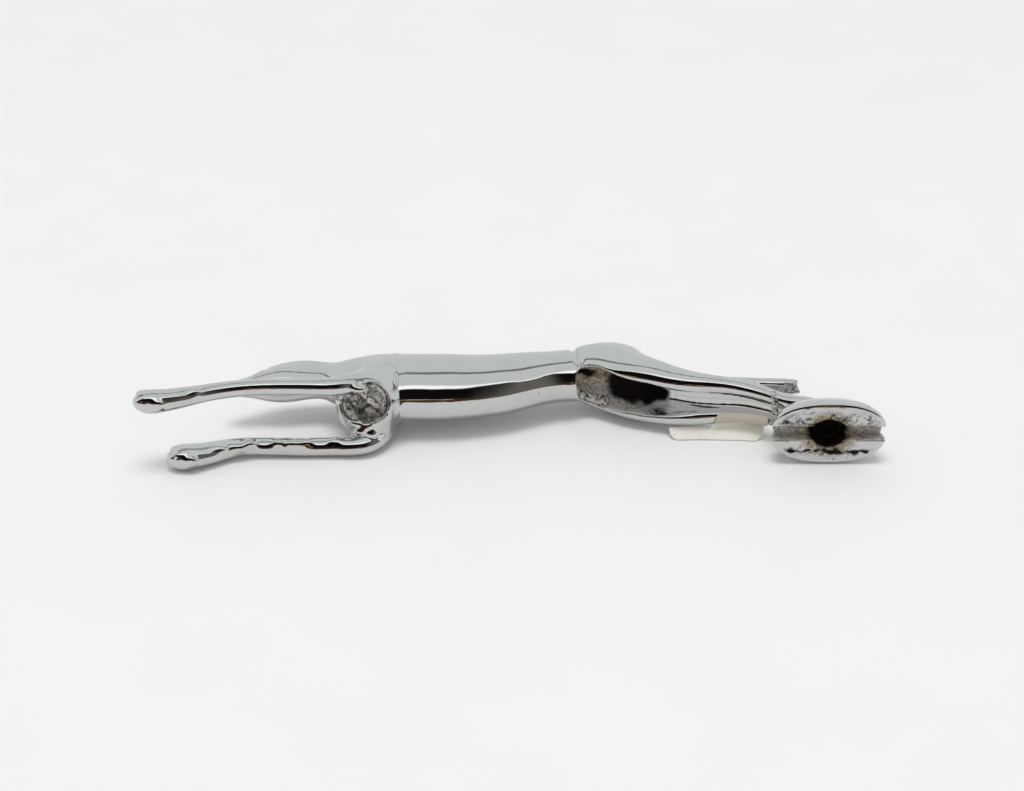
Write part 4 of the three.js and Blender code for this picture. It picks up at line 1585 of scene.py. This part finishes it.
# ---------------------------------------------------------------- small pieces
@dataclass
class SolderRuns:
    """Filler metal in the hollows and at the feet, with pellets scattered by a node tree.

    Attributes:
        step: spacing of the clay's samples in millimetres.
        pellet: radius of the largest pellets in millimetres.
        density: pellets for each square metre.
    """

    step: float = 0.25
    pellet: float = 0.42
    density: float = 60000.0

    def build(self, hound: Hound, solder: bpy.types.Material) -> None:
        """Makes the three runs of solder.

        Args:
            hound: the hollows it fills.
            solder: its material.
        """
        roof = [(x, y, w, d + 0.1, b + 0.1) for x, y, w, d, b in hound.brisket_hollow]
        self._run("brisket_fill", "brisket_solder", [roof], (-49.0, 8.8, 2.0), (-33.5, 18.0, 24.0),
                  -1.0, 51, solder)
        drips = [(-45.6, 8.4, 2.6, 0.8, 1.0), (-44.6, 8.0, 0.4, 1.0, 1.2), (-43.0, 7.8, -1.2, 1.0, 1.0)]
        self._run("brisket_drips", "brisket_solder", [drips], (-46.0, 2.0, 2.0), (-32.5, 14.0, 22.0),
                  0.0, 54, solder)
        front = [(18.4, 25.6, -1.8, 1.0, 1.6), (20.4, 25.6, -3.2, 1.2, 1.5),
                 (23.2, 25.4, -4.2, 1.3, 1.4), (26.2, 25.0, -4.8, 1.6, 1.5)]
        self._run("groin_fill", "groin_solder", [front], (15.5, 22.0, 2.0), (29.0, 31.0, 20.0),
                  0.0, 52, solder)
        bead = [(72.4, 10.6, 3.0, 0.6, 0.8), (72.8, 9.6, 2.0, 0.9, 0.9), (73.2, 9.2, 0.0, 0.9, 1.2),
                (72.9, 9.4, -2.0, 0.9, 0.9), (72.6, 10.0, -3.0, 0.6, 0.7)]
        self._run("foot_bead", "foot_solder", [bead], (69.0, 5.0, 3.0), (78.0, 14.0, 19.0), 0.0, 53, solder)

    def _run(self, name: str, node: str, tubes: Sequence[Sequence[Station]], low: Point, high: Point,
             tilt: float, seed: int, solder: bpy.types.Material) -> None:
        """One run of solder inside a box, its free face tilted and lumpy.

        Args:
            name: the piece's name.
            node: the CAD node it stands for.
            tubes: the stations of each tube of solder.
            low: the box's lowest corner.
            high: its highest corner.
            tilt: slope of the free face, or 0 for none.
            seed: fixes its lumps.
            solder: its material.
        """
        margin = 1.0
        clay = Clay(tuple(v - margin for v in low), tuple(v + margin for v in high), self.step, 2.0)
        for stations in tubes:
            clay.add(clay.tube(stations, spacing=0.5), blend=0.3)
        window = clay.everywhere()
        if tilt:
            dx, dy, _ = clay.offsets(window, (sum(p) / 2 for p in zip(low, high)))
            level = (low[1] - high[1]) / 2
            crumple = 1.6 * np.abs(clay.noise(window, 3.6, seed)) + 0.7 * np.abs(
                clay.noise(window, 1.7, seed + 3))
            free = level - dy + tilt * dx * 0.12 + crumple
            clay.distance = -smooth_least(-clay.distance, -free, 0.3)
        clay.distance = clay.distance + 0.26 * clay.noise(window, 1.5, seed + 7)
        for axis in range(3):
            edge = [slice(None)] * 3
            for end in (0, -1):
                edge[axis] = end
                clay.distance[tuple(edge)] = clay.far
        points, faces = clay.skin(rounds=2)
        piece = new_object(name, points, faces)
        piece = self._pelleted(piece, name, seed, solder)
        softened(piece, angle=60)
        finish_piece(piece, solder, [node])

    def _pelleted(self, piece: bpy.types.Object, name: str, seed: int,
                  solder: bpy.types.Material) -> bpy.types.Object:
        """Scatters small pellets of solder over a run with a node tree.

        Args:
            piece: the run.
            name: the finished object's name.
            seed: fixes the scatter.
            solder: the material.

        Returns:
            The run with its pellets.
        """
        tree = new_tree(name + "_pellets", {
            "Density": "NodeSocketFloat", "Pellet Radius": "NodeSocketFloat", "Seed": "NodeSocketInt",
        })
        make, link = tree.nodes.new, tree.links.new
        start, end = make("NodeGroupInput"), make("NodeGroupOutput")
        scatter = make("GeometryNodeDistributePointsOnFaces")
        link(start.outputs["Geometry"], scatter.inputs["Mesh"])
        link(start.outputs["Density"], scatter.inputs["Density"])
        link(start.outputs["Seed"], scatter.inputs["Seed"])
        ball = make("GeometryNodeMeshIcoSphere")
        ball.inputs["Subdivisions"].default_value = 2
        link(start.outputs["Pellet Radius"], ball.inputs["Radius"])
        size = make("FunctionNodeRandomValue")
        size.data_type = "FLOAT"
        size.inputs[2].default_value = 0.35
        size.inputs[3].default_value = 1.0
        link(start.outputs["Seed"], size.inputs["Seed"])
        place = make("GeometryNodeInstanceOnPoints")
        link(scatter.outputs["Points"], place.inputs["Points"])
        link(scatter.outputs["Rotation"], place.inputs["Rotation"])
        link(ball.outputs["Mesh"], place.inputs["Instance"])
        link(size.outputs[1], place.inputs["Scale"])
        both = make("GeometryNodeJoinGeometry")
        link(place.outputs["Instances"], both.inputs["Geometry"])
        link(start.outputs["Geometry"], both.inputs["Geometry"])
        real = make("GeometryNodeRealizeInstances")
        link(both.outputs["Geometry"], real.inputs["Geometry"])
        dress = make("GeometryNodeSetMaterial")
        dress.inputs["Material"].default_value = solder
        link(real.outputs["Geometry"], dress.inputs["Geometry"])
        link(dress.outputs["Geometry"], end.inputs["Geometry"])
        values = {"Density": self.density, "Pellet Radius": self.pellet * MM, "Seed": seed}
        return grown(piece, tree, values, name)


@dataclass
class Insert:
    """The threaded steel ring at the bottom of the stud hole; all sizes are in millimetres.

    Attributes:
        radius: outer radius.
        bore: inner radius.
        low: height of its near end above the mounting face.
        high: height of its far end.
        pitch: distance between two turns of its thread.
        ridge: radius of the thread's ridge.
    """

    radius: float = 4.3
    bore: float = 3.2
    low: float = 4.7
    high: float = 7.1
    pitch: float = 0.8
    ridge: float = 0.28

    def build(self, steel: bpy.types.Material) -> None:
        """Makes the ring and winds its thread with a node tree.

        Args:
            steel: its material.
        """
        profile = [(self.bore, self.low + 0.3), (self.bore + 0.3, self.low), (self.radius - 0.3, self.low),
                   (self.radius, self.low + 0.3), (self.radius, self.high), (self.bore, self.high)]
        count = 64
        points, faces = [], []
        cx, _, cz = PEDESTAL_CENTRE
        for i in range(count):
            a = 2 * math.pi * i / count
            points += [(cx + r * math.cos(a), y, cz + r * math.sin(a)) for r, y in profile]
        n = len(profile)
        for i in range(count):
            for j in range(n):
                a, b = i * n + j, i * n + (j + 1) % n
                c, d = (i + 1) % count * n + (j + 1) % n, (i + 1) % count * n + j
                faces.append([a, b, c, d])
        ring = new_object("insert_ring", np.array(points), faces)
        recalculated(ring)
        ring = self._threaded(ring, steel)
        softened(ring, angle=40)
        finish_piece(ring, steel, ["threaded_insert"])

    def _threaded(self, ring: bpy.types.Object, steel: bpy.types.Material) -> bpy.types.Object:
        """Adds the helical ridge inside the bore.

        Args:
            ring: the plain ring.
            steel: its material.

        Returns:
            The ring with its thread.
        """
        tree = new_tree("insert_thread", {
            "Turns": "NodeSocketFloat", "Thread Radius": "NodeSocketFloat",
            "Thread Height": "NodeSocketFloat", "Ridge": "NodeSocketFloat",
            "Centre": "NodeSocketVector",
        })
        make, link = tree.nodes.new, tree.links.new
        start, end = make("NodeGroupInput"), make("NodeGroupOutput")
        spiral = make("GeometryNodeCurveSpiral")
        spiral.inputs["Resolution"].default_value = 40
        link(start.outputs["Turns"], spiral.inputs["Rotations"])
        link(start.outputs["Thread Radius"], spiral.inputs["Start Radius"])
        link(start.outputs["Thread Radius"], spiral.inputs["End Radius"])
        link(start.outputs["Thread Height"], spiral.inputs["Height"])
        profile = make("GeometryNodeCurvePrimitiveCircle")
        profile.inputs["Resolution"].default_value = 6
        link(start.outputs["Ridge"], profile.inputs["Radius"])
        sweep = make("GeometryNodeCurveToMesh")
        sweep.inputs["Fill Caps"].default_value = True
        link(spiral.outputs["Curve"], sweep.inputs["Curve"])
        link(profile.outputs["Curve"], sweep.inputs["Profile Curve"])
        move = make("GeometryNodeTransform")
        move.inputs["Rotation"].default_value = (-math.pi / 2, 0, 0)
        link(sweep.outputs["Mesh"], move.inputs["Geometry"])
        link(start.outputs["Centre"], move.inputs["Translation"])
        both = make("GeometryNodeJoinGeometry")
        link(move.outputs["Geometry"], both.inputs["Geometry"])
        link(start.outputs["Geometry"], both.inputs["Geometry"])
        real = make("GeometryNodeRealizeInstances")
        link(both.outputs["Geometry"], real.inputs["Geometry"])
        dress = make("GeometryNodeSetMaterial")
        dress.inputs["Material"].default_value = steel
        link(real.outputs["Geometry"], dress.inputs["Geometry"])
        link(dress.outputs["Geometry"], end.inputs["Geometry"])
        height = self.high - self.low - 0.8
        centre = placed(np.array([[PEDESTAL_CENTRE[0], self.low + 0.4, PEDESTAL_CENTRE[2]]]))[0]
        values = {
            "Turns": height / self.pitch, "Thread Radius": self.bore * MM,
            "Thread Height": height * MM, "Ridge": self.ridge * MM, "Centre": tuple(centre),
        }
        return grown(ring, tree, values, "insert_ring")


def recalculated(thing: bpy.types.Object) -> None:
    """Turns an object's faces outwards.

    Args:
        thing: the object, changed in place.
    """
    work = bmesh.new()
    work.from_mesh(thing.data)
    bmesh.ops.recalc_face_normals(work, faces=work.faces)
    work.to_mesh(thing.data)
    work.free()


@dataclass
class PriceLabel:
    """A blank gummed label: it clings to the right shank and its free edge curls to the surface.

    Attributes:
        start: x of its front edge.
        end: x of its rear edge.
        wrap: x from which it clings to the shank.
        thickness: thickness of the paper.
        corner: radius of its corners.
        columns: points along it.
        rows: points up it.
    """

    start: float = 44.2
    end: float = 71.4
    wrap: float = 56.8
    thickness: float = 0.14
    corner: float = 2.4
    columns: int = 110
    rows: int = 40

    def build(self, hound: Hound, paper: bpy.types.Material) -> None:
        """Makes the label.

        Args:
            hound: the shank it clings to.
            paper: its material.
        """
        grid = np.array([[self._place(i / (self.columns - 1), j / (self.rows - 1))
                          for j in range(self.rows)] for i in range(self.columns)])
        x, y, z = grid.reshape(-1, 3).T
        y = np.minimum(y, self._leg(hound.clay, x, z) - self.thickness - 0.16)
        y = self._eased(y)
        wave = 0.16 * np.sin(x * 0.31 + 0.8) * np.clip((4.5 - z) / 4.5, 0, 1)
        back = np.stack([x, y - wave, z], 1)
        front = back - [0.0, self.thickness, 0.0]
        piece = new_object("blank_label", np.vstack([front, back]), self._faces())
        recalculated(piece)
        tan = np.clip((z - 3.9) / 0.5, 0, 1)
        write_attribute(piece, "aged", np.concatenate([tan, tan]))
        softened(piece, angle=50)
        finish_piece(piece, paper, ["paper_label"])

    def _place(self, u: float, v: float) -> Point:
        """Where a share along and up the sheet lies, before the leg stops it.

        Args:
            u: share along the sheet, 0 to 1.
            v: share up the sheet, 0 to 1.

        Returns:
            x, y and z in millimetres.
        """
        x = self.start + u * (self.end - self.start)
        clinging = min(max((x - self.wrap) / 2.2 + 0.5, 0.0), 1.0)
        clinging = clinging * clinging * (3 - 2 * clinging)
        top = 2.6 + clinging * (5.1 + 0.05 * (x - 62.0))
        bottom = 0.45 + max(0.0, x - 67.6) ** 2 * 0.16
        near = min(x - self.start, self.end - x)
        short = 0.0
        if near < self.corner:
            short = self.corner - math.sqrt(max(0.0, self.corner**2 - (self.corner - near) ** 2))
        low = bottom + short * 0.8
        z = low + (top - low) * v
        y = 13.0 + (z - 0.45) * 1.5 - max(0.0, x - 64.0) * 0.17
        return x, y, z

    def _leg(self, clay: Clay, x: np.ndarray, z: np.ndarray) -> np.ndarray:
        """The first y at which the leg is met, for each x and z.

        Args:
            clay: the block that the leg is in.
            x: places along the leg.
            z: heights above the surface.

        Returns:
            One y for each place; a large one where there is no leg.
        """
        met = np.full(len(x), 99.0)
        for y in np.arange(22.0, 7.0, -0.1):
            inside = clay.sampled(clay.distance, np.stack([x, np.full(len(x), y), z], 1)) < 0.0
            met = np.where(inside, y, met)
        return met

    def _eased(self, y: np.ndarray) -> np.ndarray:
        """Takes the folds out of the sheet.

        Args:
            y: one y for each point of the sheet.

        Returns:
            The same, smoother and never further back.
        """
        sheet = y.reshape(self.columns, self.rows)
        for _ in range(12):
            padded = np.pad(sheet, 1, mode="edge")
            around = (padded[:-2, 1:-1] + padded[2:, 1:-1] + padded[1:-1, :-2] + padded[1:-1, 2:]) / 4
            sheet = np.minimum(sheet, sheet * 0.4 + around * 0.6)
        return sheet.ravel()

    def _faces(self) -> list[list[int]]:
        """Both sides of the sheet and its rim.

        Returns:
            The corners of each face: front points come first, then back points.
        """
        rows, columns = self.rows, self.columns
        n = rows * columns
        faces = []
        for i in range(columns - 1):
            for j in range(rows - 1):
                a, b = i * rows + j, (i + 1) * rows + j
                faces += [[a, b, b + 1, a + 1], [n + a + 1, n + b + 1, n + b, n + a]]
        rim = [i * rows for i in range(columns)]
        rim += [(columns - 1) * rows + j for j in range(1, rows)]
        rim += [i * rows + rows - 1 for i in range(columns - 2, -1, -1)]
        rim += list(range(rows - 2, 0, -1))
        for k, a in enumerate(rim):
            b = rim[(k + 1) % len(rim)]
            faces.append([b, a, n + a, n + b])
        return faces


# ---------------------------------------------------------------- studio
@dataclass
class Studio:
    """A pale table, soft light from above and a dim room that the plating mirrors.

    Attributes:
        pale: brightness of the background.
        ambient: brightness of the room as dull surfaces see it.
        lamp_power: power of the light overhead, in watts.
        target: where the camera looks.
        distance: from the camera to it, in millimetres.
        elevation: angle of the camera above the table, in degrees.
        lens: focal length in millimetres.
    """

    pale: float = 0.87
    ambient: float = 0.61
    lamp_power: float = 40.0
    target: Point = (0.0, 18.0, 11.8)
    distance: float = 620.0
    elevation: float = 30.0
    lens: float = 77.8

    def build(self) -> None:
        """Sets up camera, floor, light and surroundings."""
        self._camera()
        self._floor()
        self._light()
        self._room()
        bpy.context.scene.view_settings.view_transform = "Standard"

    def _camera(self) -> None:
        """The camera looks down at the ornament's underside."""
        data = bpy.data.cameras.new("camera")
        data.lens = self.lens
        data.sensor_width = 36.0
        data.clip_start = 0.01
        data.clip_end = 20.0
        camera = bpy.data.objects.new("camera", data)
        bpy.context.scene.collection.objects.link(camera)
        a = math.radians(self.elevation)
        target = Vector(placed(np.array([self.target]))[0])
        camera.location = target + Vector((0, -math.cos(a), math.sin(a))) * self.distance * MM
        camera.rotation_euler = (math.pi / 2 - a, 0, 0)
        bpy.context.scene.camera = camera

    def _floor(self) -> None:
        """A pale table top."""
        half = 3.0
        mesh = bpy.data.meshes.new("table_top")
        corners = [(-half, -half, 0), (half, -half, 0), (half, half, 0), (-half, half, 0)]
        mesh.from_pydata(corners, [], [(0, 1, 2, 3)])
        top = bpy.data.objects.new("table_top", mesh)
        bpy.context.scene.collection.objects.link(top)
        p = Paint("table_top")
        grain = p.noise(40.0, 2)
        colour = p.blend(p.ramp(grain, 0.3, 0.7), (0.875, 0.875, 0.873, 1), (0.865, 0.865, 0.865, 1))
        mesh.materials.append(p.done(colour, 0.6, 0.0, None))
        p.shader.inputs["Specular IOR Level"].default_value = 0.2

    def _light(self) -> None:
        """One broad soft light overhead."""
        data = bpy.data.lights.new("soft_light", "AREA")
        data.shape = "RECTANGLE"
        data.size, data.size_y = 1.5, 1.1
        data.energy = self.lamp_power
        lamp = bpy.data.objects.new("soft_light", data)
        lamp.location = (-0.1, -0.3, 3.0)
        lamp.rotation_euler = (math.radians(-5.5), math.radians(-2), 0)
        lamp.visible_glossy = False
        bpy.context.scene.collection.objects.link(lamp)

    def _room(self) -> None:
        """What the plating mirrors: a dim band at the horizon and a pale tent above it."""
        world = bpy.data.worlds.new("room")
        bpy.context.scene.world = world
        world.use_nodes = True
        tree = world.node_tree
        tree.nodes.clear()
        make, link = tree.nodes.new, tree.links.new
        sky = Sky(tree)
        path = make("ShaderNodeLightPath")
        even = sky.blend(path.outputs["Is Diffuse Ray"], sky.colour(), (self.ambient,) * 3 + (1,))
        seen = sky.blend(path.outputs["Is Camera Ray"], even, (self.pale,) * 3 + (1,))
        ground = make("ShaderNodeBackground")
        link(seen, ground.inputs["Color"])
        out = make("ShaderNodeOutputWorld")
        link(ground.outputs[0], out.inputs["Surface"])


class Sky:
    """Colours of the room by direction: a white tent, dark on the side the camera stands."""

    TENT: Colour = (0.80, 0.83, 0.81, 1)
    BRIGHT: Colour = (1.6, 1.6, 1.6, 1)
    TENT_SEAM: Colour = (0.12, 0.13, 0.13, 1)
    HORIZON: Colour = (0.25, 0.25, 0.25, 1)
    BLACK: Colour = (0.006, 0.005, 0.006, 1)
    BROWN: Colour = (0.085, 0.06, 0.05, 1)
    CLUTTER: Colour = (0.16, 0.055, 0.035, 1)
    LAMP: Colour = (1.3, 0.85, 0.42, 1)
    GREY_END: Colour = (0.2, 0.19, 0.17, 1)

    def __init__(self, tree: bpy.types.NodeTree) -> None:
        """Splits the direction into its parts.

        Args:
            tree: the world's node tree.
        """
        self.tree = tree
        self.direction = tree.nodes.new("ShaderNodeTexCoord").outputs["Generated"]
        split = tree.nodes.new("ShaderNodeSeparateXYZ")
        tree.links.new(self.direction, split.inputs[0])
        self.x, self.y, self.z = split.outputs

    def feed(self, socket: bpy.types.NodeSocket, value: object) -> None:
        """Sets a socket to a value, or links it to another socket.

        Args:
            socket: an input.
            value: a constant or an output.
        """
        if isinstance(value, bpy.types.NodeSocket):
            self.tree.links.new(value, socket)
        else:
            socket.default_value = value

    def maths(self, how: str, a: object, b: object = 0.0) -> bpy.types.NodeSocket:
        """One operation on two values.

        Args:
            how: the operation.
            a: the first value or socket.
            b: the second one.

        Returns:
            The result.
        """
        made = self.tree.nodes.new("ShaderNodeMath")
        made.operation = how
        self.feed(made.inputs[0], a)
        self.feed(made.inputs[1], b)
        return made.outputs[0]

    def ramp(self, value: object, low: float, high: float, start: float = 0.0,
             end: float = 1.0) -> bpy.types.NodeSocket:
        """Value between low and high as start to end, smoothly.

        Args:
            value: what is read.
            low: where start is reached.
            high: where end is reached.
            start: the result at low.
            end: the result at high.

        Returns:
            The result.
        """
        made = self.tree.nodes.new("ShaderNodeMapRange")
        made.interpolation_type = "SMOOTHSTEP"
        for socket, given in zip(made.inputs, (value, low, high, start, end)):
            self.feed(socket, given)
        return made.outputs["Result"]

    def blend(self, share: object, a: object, b: object) -> bpy.types.NodeSocket:
        """Two colours mixed by share.

        Args:
            share: how much of b shows.
            a: the colour at 0.
            b: the colour at 1.

        Returns:
            The colour.
        """
        made = self.tree.nodes.new("ShaderNodeMix")
        made.data_type = "RGBA"
        self.feed(made.inputs[0], share)
        self.feed(made.inputs[6], a)
        self.feed(made.inputs[7], b)
        return made.outputs[2]

    def cloud(self, stretch: Point) -> bpy.types.NodeSocket:
        """Cloudy values over the directions.

        Args:
            stretch: how often it changes along x, y and z.

        Returns:
            The values, 0 to 1.
        """
        shape = self.tree.nodes.new("ShaderNodeMapping")
        self.feed(shape.inputs["Vector"], self.direction)
        shape.inputs["Scale"].default_value = stretch
        made = self.tree.nodes.new("ShaderNodeTexNoise")
        self.feed(made.inputs["Vector"], shape.outputs[0])
        made.inputs["Scale"].default_value = 1.0
        made.inputs["Detail"].default_value = 3.0
        return made.outputs["Fac"]

    def colour(self) -> bpy.types.NodeSocket:
        """The whole room.

        Returns:
            The colour in each direction.
        """
        front = self.maths("MULTIPLY", self.y, -1.0)
        edge = self.ramp(front, 0.12, 0.46, -0.16, 0.81)
        above = self.maths("SUBTRACT", self.z, edge)
        facing = self.ramp(front, 0.1, 0.4)
        glow = self.maths("MULTIPLY", facing, self.ramp(above, 0.30, 0.03))
        tent = self.blend(glow, self.TENT, self.BRIGHT)
        slope = self.maths("SUBTRACT", self.y, self.maths("MULTIPLY", self.z, 0.28))
        seam = self.ramp(self.maths("ABSOLUTE", slope), 0.10, 0.02)
        seam = self.maths("MULTIPLY", seam, self.ramp(self.z, 0.3, 0.5))
        tent = self.blend(self.maths("MULTIPLY", seam, 0.85), tent, self.TENT_SEAM)
        low = self.ramp(self.z, 0.07, 0.01, 0.0, 0.45)
        tent = self.blend(low, tent, self.HORIZON)
        return self.blend(self.ramp(above, -0.03, 0.03), self._dark_side(), tent)

    def _dark_side(self) -> bpy.types.NodeSocket:
        """The side the camera stands on: black high up, brown low down, with a few warm lamps.

        Returns:
            The colour in each direction.
        """
        clutter = self.ramp(self.cloud((3.0, 3.0, 14.0)), 0.45, 0.7)
        room = self.blend(self.ramp(self.z, 0.30, 0.02), self.BLACK, self.BROWN)
        room = self.blend(self.maths("MULTIPLY", clutter, self.ramp(self.z, 0.5, 0.1, 0.0, 0.6)),
                          room, self.CLUTTER)
        lamp = self.ramp(self.maths("ABSOLUTE", self.maths("SUBTRACT", self.z, 0.2)), 0.014, 0.006)
        lamp = self.maths("MULTIPLY", lamp, self.ramp(self.cloud((4.0, 4.0, 1.0)), 0.5, 0.56))
        room = self.blend(lamp, room, self.LAMP)
        return self.blend(self.ramp(self.x, 0.3, 0.75, 0.0, 0.85), room, self.GREY_END)


def dress_pins(brass: bpy.types.Material) -> None:
    """Gives the hidden locating pins their brass.

    Args:
        brass: their material.
    """
    for name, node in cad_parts.items():
        if name.endswith("_pin") or "_pin_" in name:
            node.data.materials.clear()
            node.data.materials.append(brass)
            log.info("%s: brass", name)


def main() -> None:
    """Builds the ornament piece by piece."""
    logging.basicConfig(level=logging.INFO, format="%(message)s")
    Studio().build()
    plating = Plating().material()
    solder = SolderFinish().material()
    hound = Hound()
    hound.build(plating)
    Pedestal().build(plating)
    SolderRuns().build(hound, solder)
    Insert().build(RustedSteelPaintedShade().material())
    PriceLabel().build(hound, LabelPaper().material())
    dress_pins(TurnedBrass().material())


if __name__ == "__main__":
    main()
